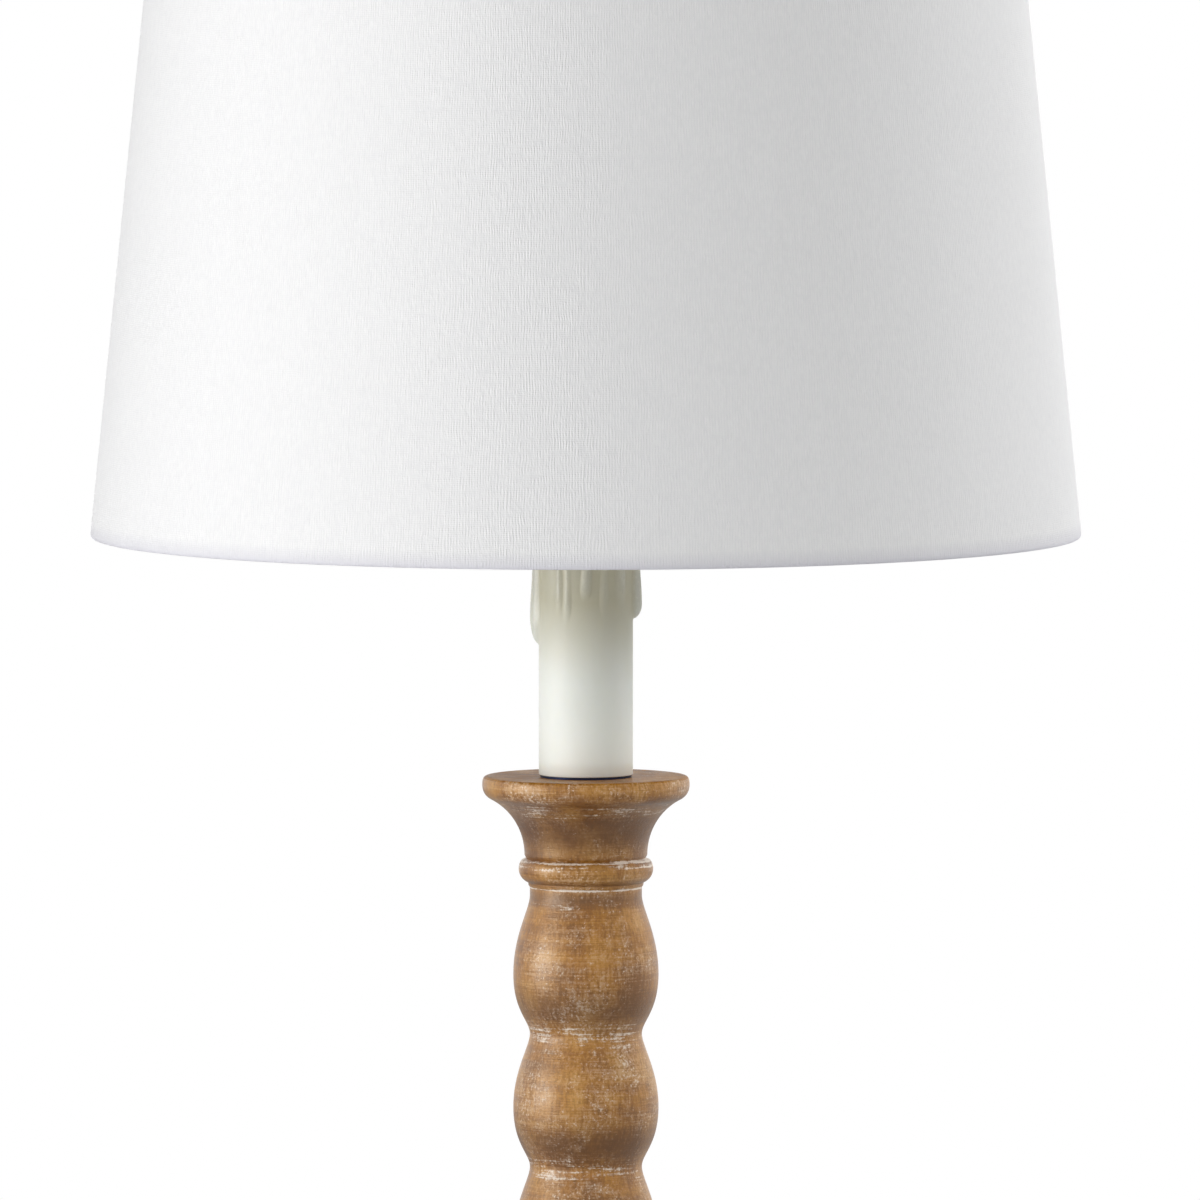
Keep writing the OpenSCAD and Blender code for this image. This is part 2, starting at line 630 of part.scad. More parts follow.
module switch_knob() color("saddlebrown") rotate([0, 0, 180]) difference() {
    union() {
        along_y(shaft_depth + rest_gap, z_cap + knob_z)
            cylinder(r = shaft_r, h = shell_r + knob_gap - shaft_depth);
        along_y(shell_r + knob_gap, z_cap + knob_z) turned([[0, 0], [knob_r - 0.5, 0], [knob_r, 0.5],
            [knob_r - 0.4, knob_l - 1], [knob_r - 1.4, knob_l], [0, knob_l]]);
    }
    for (i = [0:flutes - 1]) along_y(shell_r + knob_gap - 1, z_cap + knob_z)
        rotate([0, 0, i * 360 / flutes]) translate([knob_r + 0.3, 0, 0])
            cylinder(r = flute_r, h = knob_l + 2, $fn = 24);
}

// The bulb's outline from its base to its tip, drawn in by the wall of the glass
function bulb_outline(wall) = let (
    r = bulb_r - wall, neck = glass_r - wall, foot = bulb_collar, tip = bulb_h, wide = tip - bulb_r)
    concat(
        [[neck, bulb_skirt + 1], [neck, foot]],
        curve([neck, foot], [neck + 0.6, foot + 20], [r, foot + 26], [r, wide], 10),
        [for (a = [10:10:80]) [r * cos(a), wide + r * sin(a)]],
        [[0, wide + r]]);

module bulb_glass() color("white", 0.9) at(z_cap + bulb_z) difference() {
    turned(concat([[0, bulb_skirt + 1]], bulb_outline(0)));
    at(-0.01) turned(concat([[0, bulb_skirt + 1]], bulb_outline(bulb_wall)));
}

module bulb_base() color("silver") at(z_cap + bulb_z) turned([
    [4.6, 2.6], [bulb_base_r - 1.6, bulb_skirt - 1.6], [bulb_base_r, bulb_skirt],
    [bulb_base_r, bulb_collar - 4], [bulb_base_r + 0.6, bulb_collar - 3],
    [bulb_base_r + 0.6, bulb_collar], [glass_r + slip_gap, bulb_collar],
    [glass_r + slip_gap, bulb_skirt + 0.4], [4.6, 3.2]]);

module bulb_insulator() color("black") at(z_cap + bulb_z) turned([
    [2.5, 0.8], [4.5, 2.6], [4.5, 3.4], [2.5, 3.4]]);

module bulb_contact() color("silver") at(z_cap + bulb_z) turned([
    [0, 0], [1.6, 0], [2.4, 0.7], [2.4, 3.4], [0, 3.4]]);

// One arm: level from the hub, a bend, and a slope up to the top ring
module shade_arm() at(z_hub + hub_t / 2) {
    translate([arm_start, 0, 0]) rotate([0, 90, 0])
        cylinder(r = arm_r, h = arm_bend_x - arm_start, $fn = 32);
    wire_joint(arm_bend_x, 0, 90, arm_r);
    wire_arc([arm_bend_x, arm_bend], arm_bend, arm_r, -90, arm_lift);
    wire_joint(arm_slope_x, arm_slope_z, 90 - arm_lift, arm_r);
    translate([arm_slope_x, 0, arm_slope_z]) rotate([0, 90 - arm_lift, 0])
        cylinder(r = arm_r, h = arm_slope - arm_end_gap, $fn = 32);
}

module shade_spider() color("silver") {
    difference() {
        at(z_hub) cylinder(r = hub_r, h = hub_t);
        at(z_hub - 1) cylinder(r = hub_hole_r, h = hub_t + 2);
    }
    for (a = ARMS) rotate([0, 0, a]) shade_arm();
}

module ring_wire(radius, z) at(z) rotate_extrude() translate([radius, 0]) circle(r = ring_r, $fn = 32);

module shade_top_ring() color("silver") ring_wire(arm_end_r, z_shade_top - ring_z);

module shade_bottom_ring() color("silver") ring_wire(shade_r(ring_z) - ring_in, z_rim + ring_z);

module shade_layer(from, to, outer, inner) at(z_rim) turned([
    [shade_r(from) - inner, from], [shade_r(from) - outer, from],
    [shade_r(to) - outer, to], [shade_r(to) - inner, to]]);

module shade_liner() color("whitesmoke")
    shade_layer(cloth_t + rest_gap, shade_h - cloth_t - rest_gap, liner_in, liner_out);

module shade_fabric() color("white")
    shade_layer(hem_edge + rest_gap, shade_h - hem_edge - rest_gap, 0, cloth_t);

module shade_bottom_hem() color("lavender") at(z_rim) turned(hem_outline(0, 1));

module shade_top_hem() color("lavender") difference() {
    at(z_rim) turned(hem_outline(shade_h, -1));
    intersection() {
        at(z_rim) turned([[0, notch_foot], [shade_r(notch_foot) - liner_out, notch_foot],
            [shade_r(notch_top) - liner_out, notch_top], [0, notch_top]]);
        for (a = ARMS) rotate([0, 0, a])
            translate([arm_end_r - notch_l, -notch_w / 2, z_rim + notch_foot])
                cube([2 * notch_l, notch_w, notch_top - notch_foot]);
    }
}

module finial_base() color("goldenrod") at(z_finial) turned(concat(
    [[stud_r + run_gap, 0], [finial_flange_r, 0], [finial_flange_r, finial_flange_t]],
    curve([finial_flange_r, finial_flange_t], [finial_waist_r, finial_flange_t + 1],
        [finial_waist_r, finial_base_h - 2], [finial_foot_r, finial_base_h]),
    [[0, finial_base_h], [0, stud_h - 0.5], [stud_r + run_gap, stud_h - 0.5]]));

module finial_knob() color("peru") at(z_finial + finial_base_h) turned(concat(
    [[0, 0], [finial_foot_r, 0]],
    curve([finial_foot_r, 0], [finial_r - 1, 1], [finial_r, finial_h * 0.2], [finial_r, finial_h * 0.42]),
    curve([finial_r, finial_h * 0.42], [finial_r, finial_h * 0.7], [4, finial_h * 0.72],
        [3, finial_h * 0.86]),
    curve([3, finial_h * 0.86], [3.4, finial_h * 0.95], [2, finial_h], [0, finial_h], 4)));

felt_pad();
foot();
base_weight();
base_washer();
base_nut();
cord_bushing();
column();
candle_cup();
seat_ring();
cup_nut();
lamp_pipe();
candle_sleeve();
sleeve_cap();
harp_saddle();
harp();
harp_stud();
harp_ferrule_left();
harp_ferrule_right();
socket_cap();
socket_set_screw();
socket_shell();
socket_liner();
socket_body();
screw_shell();
centre_contact();
terminal_screws();
switch_knob();
bulb_glass();
bulb_base();
bulb_insulator();
bulb_contact();
shade_spider();
shade_top_ring();
shade_bottom_ring();
shade_liner();
shade_fabric();
shade_top_hem();
shade_bottom_hem();
finial_base();
finial_knob();
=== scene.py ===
"""The looks of the buffet lamp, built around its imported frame.

The camera, the materials, the floor and the lights are in metres. The lamp's own sizes and outlines are in
millimetres, as in the CAD source, and turned() makes metres of them.
"""

import math

import bmesh
import bpy
import numpy as np
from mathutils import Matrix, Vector


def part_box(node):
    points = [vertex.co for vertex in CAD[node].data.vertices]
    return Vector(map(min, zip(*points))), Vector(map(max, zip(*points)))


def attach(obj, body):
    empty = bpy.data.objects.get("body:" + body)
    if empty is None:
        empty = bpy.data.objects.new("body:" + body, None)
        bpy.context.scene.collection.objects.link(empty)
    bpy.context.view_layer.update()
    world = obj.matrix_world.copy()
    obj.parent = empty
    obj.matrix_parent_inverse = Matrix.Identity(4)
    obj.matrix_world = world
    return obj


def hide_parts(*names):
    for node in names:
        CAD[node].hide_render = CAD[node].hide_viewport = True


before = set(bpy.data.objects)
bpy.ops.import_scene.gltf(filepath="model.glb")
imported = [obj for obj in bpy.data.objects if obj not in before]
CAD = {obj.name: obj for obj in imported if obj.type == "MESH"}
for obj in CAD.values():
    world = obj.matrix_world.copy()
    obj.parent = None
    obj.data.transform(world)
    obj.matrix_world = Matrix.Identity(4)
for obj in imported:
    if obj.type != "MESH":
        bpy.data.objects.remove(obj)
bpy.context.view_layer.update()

MM = 0.001


# Camera, as in the photograph

VIEW_WIDTH = 0.4  # what the frame spans at the lamp's axis
VIEW_HEIGHT = 0.5234  # height of the frame's middle on the axis
VIEW_SIDE = 0.0047  # how far right of the axis the camera aims
ELEVATION = 4.0
DISTANCE = 8.0
SENSOR = 36.0
CLIP_END = 200


def add_camera():
    data = bpy.data.cameras.new("camera")
    data.sensor_width = SENSOR
    data.lens = SENSOR * DISTANCE / VIEW_WIDTH
    data.clip_end = CLIP_END
    camera = bpy.data.objects.new("camera", data)
    bpy.context.scene.collection.objects.link(camera)
    tilt = math.radians(ELEVATION)
    aim = Vector((VIEW_SIDE, 0, VIEW_HEIGHT))
    camera.location = aim + DISTANCE * Vector((0, -math.cos(tilt), math.sin(tilt)))
    camera.rotation_euler = (math.pi / 2 - tilt, 0, 0)
    bpy.context.scene.camera = camera


add_camera()
bpy.context.scene.view_settings.view_transform = "Standard"


# Sizes, as in the CAD source

BOBBINS = 8
BOBBIN_PITCH = 44.5
TOP_BOBBIN_H = 46.3
BELLY_R = 24.25
NECK_R = 18.7
BELLY_RISE = 19.8
COLLAR_H = 2.7
WOOD_BORE_R = 6
TENON_R = 11
TENON_H = 12
SOCKET_R = TENON_R + 0.15
SOCKET_DEPTH = TENON_H + 1
Z_FOOT = 2
FOOT_R = 76
FOOT_H = 65
PLINTH_H = 15
HOLLOW_R = 52
HOLLOW_H = 20
FOOT_BEAD_R = 26
Z_COLUMN = Z_FOOT + FOOT_H
Z_NECK = Z_COLUMN + (BOBBINS - 1) * BOBBIN_PITCH + TOP_BOBBIN_H
Z_JOINT = Z_NECK + COLLAR_H
CUP_H = 37.1
LIP_R = 34.6
LIP_H = 7.8
STEM_R = 20.5
BEAD_R = 22.7
BEAD_H = 7.7
DISH_H = 0.3
SLEEVE_R = 15.7
SLEEVE_H = 102.5
SLEEVE_BORE_R = 14.4
SEAT_RING_T = 0.8
DRIP_R = 2.5
SHADE_BOTTOM_R = 165.2
SHADE_TOP_R = 139.6
SHADE_H = 254
CLOTH_T = 0.5
HEM_W = 4.4
HEM_H = 10
HEM_END = 1.45
HEM_TURN = 3.4


# Meshes


def link(name, mesh, smooth=35):
    """An object of the mesh, shaded smooth except at edges sharper than smooth degrees."""
    mesh.shade_smooth()
    mesh.set_sharp_from_angle(angle=math.radians(smooth))
    piece = bpy.data.objects.new(name, mesh)
    bpy.context.scene.collection.objects.link(piece)
    return piece


def bend(outline, b, c, d, steps=14):
    """Adds a cubic curve to an outline, from its last point to d."""
    a = outline[-1]
    for i in range(1, steps + 1):
        t = i / steps
        s = 1 - t
        first, second, third, last = s**3, 3 * s * s * t, 3 * s * t * t, t**3
        outline.append(tuple(first * a[k] + second * b[k] + third * c[k] + last * d[k] for k in (0, 1)))


def turned(name, outline, segments=192, reach=None, masks=None, smooth=35):
    """A turned solid from a closed outline of (radius, height). reach(angles, radius, height) gives the radii
    of a row that isn't round. masks holds functions of radius and height, painted under their names."""
    angles = np.arange(segments) * 2 * math.pi / segments
    points, rows, painted = [], [], []
    for r, z in outline:
        if r == 0:
            rows.append([len(points)] * segments)
            points.append((0, 0, z))
            painted.append((r, z))
            continue
        radii = np.full(segments, float(r)) if reach is None else reach(angles, r, z)
        rows.append(list(range(len(points), len(points) + segments)))
        points.extend(zip(radii * np.sin(angles), -radii * np.cos(angles), np.full(segments, float(z))))
        painted.extend((radius, z) for radius in radii)
    faces = []
    for low, high in zip(rows, rows[1:] + rows[:1]):
        if low[0] == low[1] and high[0] == high[1]:
            continue
        for i in range(segments):
            j = (i + 1) % segments
            face = [low[i], low[j], high[j], high[i]]
            faces.append(list(dict.fromkeys(face)))
    mesh = bpy.data.meshes.new(name)
    mesh.from_pydata((np.array(points) * MM).tolist(), [], faces)
    for mask, amount in (masks or {}).items():
        values = mesh.attributes.new(mask, "FLOAT", "POINT")
        values.data.foreach_set("value", [amount(r, z) for r, z in painted])
    mesh.update()
    outward(mesh)
    return link(name, mesh, smooth)


def outward(mesh):
    """Turns every face of a closed mesh outwards."""
    shape = bmesh.new()
    shape.from_mesh(mesh)
    bmesh.ops.recalc_face_normals(shape, faces=shape.faces)
    shape.to_mesh(mesh)
    shape.free()


def bump_at(height, middle, spread):
    """A soft peak of 1 where height is middle."""
    return math.exp(-(((height - middle) / spread) ** 2))


# Shader graphs


class Graph:
    """A material's node tree, built one node a call."""

    def __init__(self, name):
        self.material = bpy.data.materials.new(name)
        self.material.use_nodes = True
        self.tree = self.material.node_tree
        self.tree.nodes.clear()
        self.place = self.node("ShaderNodeTexCoord").outputs["Object"]

    def node(self, kind, inputs=None, **settings):
        made = self.tree.nodes.new(kind)
        for name, value in settings.items():
            setattr(made, name, value)
        for key, value in (inputs or {}).items():
            socket = made.inputs[key]
            if isinstance(value, bpy.types.NodeSocket):
                self.tree.links.new(value, socket)
            else:
                socket.default_value = value
        return made

    def scaled(self, x, y, z):
        vector = self.node("ShaderNodeVectorMath", {0: self.place, 1: (x, y, z)}, operation="MULTIPLY")
        return vector.outputs["Vector"]

    def noise(self, x, y, z, detail=3.0, roughness=0.5, distortion=0.0):
        """Noise with x, y and z features a metre, from 0 to 1."""
        inputs = {"Vector": self.scaled(x, y, z), "Scale": 1.0, "Detail": detail, "Roughness": roughness}
        inputs["Distortion"] = distortion
        return self.node("ShaderNodeTexNoise", inputs).outputs["Fac"]

    def maths(self, operation, a, b=0.0):
        return self.node("ShaderNodeMath", {0: a, 1: b}, operation=operation).outputs["Value"]

    def times(self, a, b):
        return self.maths("MULTIPLY", a, b)

    def plus(self, a, b):
        return self.maths("ADD", a, b)

    def step(self, value, low, high, start=0.0, end=1.0):
        """A smooth step from start to end as value goes from low to high."""
        inputs = {"Value": value, "From Min": low, "From Max": high, "To Min": start, "To Max": end}
        made = self.node("ShaderNodeMapRange", inputs, interpolation_type="SMOOTHSTEP")
        return made.outputs["Result"]

    def mix(self, amount, a, b):
        """Colour a with an amount of colour b over it."""
        made = self.node("ShaderNodeMix", {0: amount, 6: a, 7: b}, data_type="RGBA")
        return made.outputs[2]

    def ramp(self, value, *stops):
        """A colour that goes through stops of (value, colour)."""
        made = self.node("ShaderNodeValToRGB", {"Fac": value})
        elements = made.color_ramp.elements
        while len(elements) < len(stops):
            elements.new(1)
        for element, (position, colour) in zip(elements, stops):
            element.position = position
            element.color = colour
        return made.outputs["Color"]

    def painted(self, name):
        """What a mesh's mask of that name holds."""
        return self.node("ShaderNodeAttribute", attribute_name=name).outputs["Fac"]

    def bump(self, height, distance):
        """Relief of a depth in metres where height goes from 0 to 1."""
        made = self.node("ShaderNodeBump", {"Height": height, "Distance": distance, "Strength": 1.0})
        return made.outputs["Normal"]

    def finish(self, **inputs):
        """The shader with these values on its sockets. Underscores in a name stand for spaces."""
        named = {key.replace("_", " "): value for key, value in inputs.items()}
        shader = self.node("ShaderNodeBsdfPrincipled", named)
        self.node("ShaderNodeOutputMaterial", {"Surface": shader.outputs["BSDF"]})
        return self.material


def rgb(r, g, b):
    """A colour from its display values, 0 to 255."""
    linear = [v / 255 / 12.92 if v < 11 else ((v / 255 + 0.055) / 1.055) ** 2.4 for v in (r, g, b)]
    return (*linear, 1)


# Materials. A noise's numbers are its features a metre along x, y and z, its detail and its roughness.

HONEY = [  # by the wood's tone, from dark to pale
    (0.4, rgb(118, 70, 14)),
    (0.475, rgb(146, 93, 24)),
    (0.535, rgb(164, 111, 38)),
    (0.62, rgb(182, 132, 64)),
]
# Dark brown laid where staining pools and where shade falls: partly real, partly painted shade.
DARK_STAIN_AND_SHADE = rgb(84, 43, 2)
PORES = rgb(80, 48, 12)
LIME = rgb(204, 180, 154)
WHITEWASH = rgb(232, 222, 210)
VARNISH_SHEEN = (1, 0.8, 0.55, 1)


def wood_material(name, specular, coat):
    """Turned softwood in worn honey staining, limed all over, with whitewash left where it is painted, and
    painted shade with staining in its hollows.
    """
    g = Graph(name)
    grain = g.noise(1000, 1000, 140, 4, 0.65)
    turning = g.noise(70, 70, 2100, 4, 0.7)  # the tool's fine lines round the wood
    speckle = g.noise(1150, 1150, 1150, 3, 0.7)
    patch = g.noise(80, 80, 50, 3, 0.6, 0.4)
    film = g.noise(60, 60, 70, 4, 0.65, 0.6)  # where lime and whitewash have stayed
    brush = g.noise(48, 48, 1650, 3, 0.6)  # lines of whitewash round the wood
    band = g.noise(14, 14, 330, 3, 0.6)
    tone = g.plus(g.times(patch, 0.5), g.plus(g.times(grain, 0.2), g.times(band, 0.3)))
    # Painted shade with real staining: darker under bellies, beads and lips and in coves.
    darkening = g.painted("darkening")
    stained_and_shaded = g.mix(g.times(darkening, g.step(patch, 0.3, 0.66, 1, 0.78)), g.ramp(tone, *HONEY), DARK_STAIN_AND_SHADE)
    fine = g.plus(g.times(speckle, 0.36), g.plus(g.times(turning, 0.36), g.times(grain, 0.28)))
    pored = g.mix(g.step(fine, 0.5, 0.42, 0, 0.42), stained_and_shaded, PORES)
    lime = g.step(g.plus(fine, g.times(film, 0.35)), 0.64, 0.8, 0, 0.46)
    limed = g.mix(g.times(lime, g.plus(1, g.times(darkening, -0.85))), pored, LIME)
    wash = g.times(g.painted("wash"), g.step(film, 0.4, 0.58, 0.6, 1.1))
    lines = g.step(g.plus(wash, g.plus(g.times(brush, 0.9), g.times(speckle, 0.6))), 1.0, 1.2, 0, 0.84)
    fleck = g.step(g.plus(speckle, g.times(film, 0.6)), 0.92, 1.02, 0, 0.6)
    flecks = g.times(fleck, g.plus(1, g.times(darkening, -0.8)))
    colour = g.mix(g.maths("MAXIMUM", lines, flecks), limed, WHITEWASH)
    rough = g.plus(g.step(fine, 0.4, 0.6, 0.32, 0.5), g.times(lines, 0.2))
    relief = g.plus(g.times(fine, 0.8), g.times(brush, 0.2))
    return g.finish(
        Base_Color=colour,
        Roughness=rough,
        Normal=g.bump(relief, 0.0004),
        IOR=1.5,
        Specular_IOR_Level=specular,
        Specular_Tint=VARNISH_SHEEN,
        Coat_Weight=coat,
        Coat_Roughness=0.3,
    )


def wax_material():
    """Ivory coating, glossy where the wax ran, with painted shade that makes it darker and yellower toward
    the top, less so where the wax is thick.
    """
    g = Graph("wax")
    cloud = g.noise(60, 60, 25, 3, 0.5)
    grain = g.noise(900, 900, 500, 3, 0.55)
    fresh = g.mix(g.step(cloud, 0.3, 0.7), rgb(240, 242, 236), rgb(235, 238, 230))
    thick = g.painted("wax")
    # Painted shade: darker and yellower toward the sleeve's top, under the lamp shade, and less where the wax
    # is thick.
    colour = g.mix(g.times(g.painted("top_shade"), g.plus(0.8, g.times(thick, -0.45))), fresh, rgb(208, 202, 172))
    rough = g.plus(g.step(grain, 0.35, 0.7, 0.46, 0.56), g.step(thick, 0, 0.4, 0, -0.26))
    relief = g.plus(g.times(grain, 0.3), g.times(cloud, 0.7))
    return g.finish(
        Base_Color=colour,
        Roughness=rough,
        Normal=g.bump(relief, 0.0001),
        IOR=1.46,
        Specular_IOR_Level=0.45,
        Subsurface_Weight=0.15,
        Subsurface_Radius=(1.0, 0.85, 0.6),
        Subsurface_Scale=0.0015,
    )


def metal_material(name, colour, dark, rough):
    """Brushed or plated metal with faint stains and fine scratches."""
    g = Graph(name)
    darkening = g.noise(90, 90, 70, 4, 0.6)
    scratch = g.noise(260, 260, 3600, 3, 0.6)
    tint = g.mix(g.step(darkening, 0.42, 0.72, 0, 0.7), colour, dark)
    uneven = g.plus(g.step(scratch, 0.3, 0.7, rough - 0.08, rough + 0.1), g.times(darkening, 0.08))
    return g.finish(Base_Color=tint, Metallic=1.0, Roughness=uneven, Normal=g.bump(scratch, 0.00003))


def moulded_material(name, colour, lighter, rough):
    """Moulded plastic with a faint cloud in its colour."""
    g = Graph(name)
    grain = g.noise(1400, 1400, 1400, 3, 0.6)
    cloud = g.noise(120, 120, 120, 3, 0.5)
    tint = g.mix(g.step(cloud, 0.35, 0.7), colour, lighter)
    return g.finish(
        Base_Color=tint,
        Roughness=g.step(grain, 0.3, 0.7, rough - 0.06, rough + 0.08),
        Normal=g.bump(grain, 0.00004),
    )


def cast_material():
    """Rough cast iron with a little rust."""
    g = Graph("iron")
    lump = g.noise(420, 420, 420, 5, 0.7)
    rust = g.noise(90, 90, 90, 4, 0.6)
    colour = g.mix(g.step(rust, 0.55, 0.75, 0, 0.5), rgb(58, 58, 60), rgb(92, 62, 46))
    return g.finish(Base_Color=colour, Metallic=0.6, Roughness=0.72, Normal=g.bump(lump, 0.0006))


def felt_material():
    """Green felt."""
    g = Graph("felt")
    fibre = g.noise(2200, 2200, 2200, 4, 0.7, 1.2)
    cloud = g.noise(140, 140, 140, 3, 0.6)
    colour = g.mix(g.plus(g.times(fibre, 0.6), g.times(cloud, 0.4)), rgb(62, 72, 56), rgb(112, 120, 98))
    return g.finish(
        Base_Color=colour,
        Roughness=0.95,
        Normal=g.bump(fibre, 0.0004),
        Sheen_Weight=0.5,
        Sheen_Roughness=0.6,
    )


def paper_material():
    """The brown fibre of a socket's insulating sleeve."""
    g = Graph("paper")
    fibre = g.noise(1200, 1200, 400, 4, 0.65, 0.8)
    colour = g.mix(g.step(fibre, 0.35, 0.7), rgb(176, 148, 112), rgb(142, 114, 80))
    return g.finish(Base_Color=colour, Roughness=0.85, Normal=g.bump(fibre, 0.00012))


RIBS = 1100  # warp ribs a metre round the shade
WEFT = 1500  # weft threads a metre down its side
RIB_SWAY = 15  # how far the ribs wander, in radians of their wave
WEFT_SWAY = 9


def cloth_material(name, colour, darker, shadow):
    """Ribbed woven cloth. Its warp runs down the shade's side, whatever the cone's size."""
    g = Graph(name)
    split = g.node("ShaderNodeSeparateXYZ", {"Vector": g.place})
    x, y, z = (split.outputs[k] for k in "XYZ")
    middle_r = (SHADE_BOTTOM_R + SHADE_TOP_R) / 2 * MM
    around = g.times(g.maths("ARCTAN2", x, y), middle_r * RIBS * 2 * math.pi)
    sway = g.noise(90, 90, 60, 3, 0.6)
    thread = g.noise(1250, 1250, 260, 3, 0.6)
    slub = g.noise(300, 300, 500, 3, 0.6)
    warp = g.maths("SINE", g.plus(around, g.times(sway, RIB_SWAY)))
    weft = g.maths("SINE", g.plus(g.times(z, WEFT * 2 * math.pi), g.times(slub, WEFT_SWAY)))
    woven = g.plus(g.times(warp, g.step(slub, 0.35, 0.65, 0.03, 0.16)), g.times(weft, 0.03))
    ribs = g.plus(woven, g.plus(g.times(thread, 0.7), g.times(slub, 0.3)))
    tint = g.mix(g.step(ribs, 0.3, 0.7), darker, colour)
    # Painted shade: the rolled rims greyed toward the shadow colour, most at the lower edge.
    folded = g.mix(g.painted("rim_shade"), tint, shadow)
    return g.finish(
        Base_Color=folded,
        Roughness=0.9,
        Normal=g.bump(ribs, 0.00024),
        Sheen_Weight=0.1,
        Sheen_Roughness=0.5,
    )


def liner_material():
    """The smooth white styrene behind the cloth."""
    g = Graph("liner")
    orange_peel = g.noise(700, 700, 700, 2, 0.5)
    cloud = g.noise(30, 30, 30, 3, 0.5)
    colour = g.mix(g.step(cloud, 0.3, 0.7), rgb(238, 237, 233), rgb(230, 229, 224))
    return g.finish(Base_Color=colour, Roughness=0.5, Normal=g.bump(orange_peel, 0.00003))


def frosted_material():
    """A bulb's frosted glass."""
    g = Graph("frosted_glass")
    frost = g.noise(2600, 2600, 2600, 2, 0.6)
    colour = g.mix(g.step(frost, 0.3, 0.7), rgb(240, 239, 234), rgb(233, 232, 226))
    return g.finish(
        Base_Color=colour, Roughness=0.32, Normal=g.bump(frost, 0.00002), IOR=1.5, Coat_Weight=0.3
    )


WOOD = wood_material("wood", specular=1, coat=0.33)
BARE_WOOD = wood_material("bare_wood", specular=0.2, coat=0)
WAX = wax_material()
CLOTH = cloth_material("cloth", rgb(245, 245, 245), rgb(238, 238, 239), rgb(212, 211, 220))
LINER = liner_material()
BRASS = metal_material("brass", rgb(214, 178, 108), rgb(168, 128, 66), 0.3)
STEEL = metal_material("steel", rgb(196, 196, 198), rgb(150, 150, 152), 0.34)
NICKEL = metal_material("nickel", rgb(214, 212, 206), rgb(176, 172, 164), 0.24)
# Dark blue steel for the seat ring: painted shade for the shadow gap under the candle sleeve.
SHADOW_GAP_STEEL = metal_material("shadow_gap_steel", rgb(44, 50, 72), rgb(26, 28, 36), 0.42)
PHENOLIC = moulded_material("phenolic", rgb(34, 28, 26), rgb(50, 42, 38), 0.34)
IRON = cast_material()
FELT = felt_material()
PAPER = paper_material()
FROSTED = frosted_material()

NODE_LOOKS = {
    "felt_pad": FELT,
    "base_weight": IRON,
    "base_washer": STEEL,
    "base_nut": STEEL,
    "cord_bushing": BRASS,
    "seat_ring": SHADOW_GAP_STEEL,
    "cup_nut": STEEL,
    "lamp_pipe": STEEL,
    "sleeve_cap": BRASS,
    "harp_saddle": BRASS,
    "harp": BRASS,
    "harp_ferrule_left": BRASS,
    "harp_ferrule_right": BRASS,
    "socket_cap": BRASS,
    "socket_set_screw": STEEL,
    "socket_shell": BRASS,
    "socket_liner": PAPER,
    "socket_body": PHENOLIC,
    "centre_contact": BRASS,
    "terminal_screws": STEEL,
    "switch_knob": PHENOLIC,
    "bulb_insulator": PHENOLIC,
    "bulb_contact": NICKEL,
    "shade_spider": STEEL,
    "shade_top_ring": STEEL,
    "shade_bottom_ring": STEEL,
    "shade_liner": LINER,
    "finial_base": BRASS,
}

for node, look in NODE_LOOKS.items():
    CAD[node].data.materials.clear()
    CAD[node].data.materials.append(look)


def dress(piece, material, body, slot, *replaced):
    """Gives a piece its material and body, and hides the nodes that it stands in for. The slot is not used.
    """
    piece.data.materials.append(material)
    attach(piece, body)
    if replaced:
        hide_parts(*replaced)


# Wooden pieces


def tenon(shoulder):
    """A tenon's outline, from the bore up to its shoulder."""
    return [(WOOD_BORE_R, shoulder - TENON_H), (TENON_R, shoulder - TENON_H), (TENON_R, shoulder)]


def socket(top):
    """The outline of the hole for a tenon, from its rim down to the bore."""
    return [(SOCKET_R, top), (SOCKET_R, top - SOCKET_DEPTH), (WOOD_BORE_R, top - SOCKET_DEPTH)]


def marks(places, bottom=0, inner=NECK_R - 0.5):
    """A mask of soft bands round the wood: how strong each is, its height over bottom, and its spread.
    Nothing is painted nearer the axis than inner, where the bore and the tenons are."""

    def mask(r, z):
        if r < inner:
            return 0.0
        return max(amount * bump_at(z - bottom, middle, spread) for amount, middle, spread in places)

    return mask


# Column

NECKS = [Z_COLUMN + i * BOBBIN_PITCH for i in range(BOBBINS)] + [Z_NECK]
JOINT_WASH = 0.53  # the line where cup and column meet
JOINT_SPREAD = 0.38
COLUMN_WASH = [(0.32, neck - 0.3, 5.5) for neck in NECKS[:-1]]
COLUMN_WASH += [(JOINT_WASH, Z_JOINT - 0.1, JOINT_SPREAD), (0.22, Z_NECK - 3.5, 3.5)]
# Darker where staining pools and where shade falls: partly real, partly painted shade.
COLUMN_STAIN_AND_SHADE = [(0.8, neck + 9, 7) for neck in NECKS]  # the underside of each belly: staining and painted shade
COLUMN_STAIN_AND_SHADE += [(0.8, Z_NECK - 0.4, 3)]  # under the joint


def bobbin(outline, low, high):
    """Adds a bobbin to an outline that ends at the bobbin's lower neck."""
    rise = BELLY_RISE
    widest = low + rise
    drop = high - widest
    bend(outline, (NECK_R, low + 0.2 * rise), (BELLY_R, low + 0.38 * rise), (BELLY_R, widest), 22)
    bend(outline, (BELLY_R, high - 0.5 * drop), (NECK_R, high - 0.18 * drop), (NECK_R, high), 26)


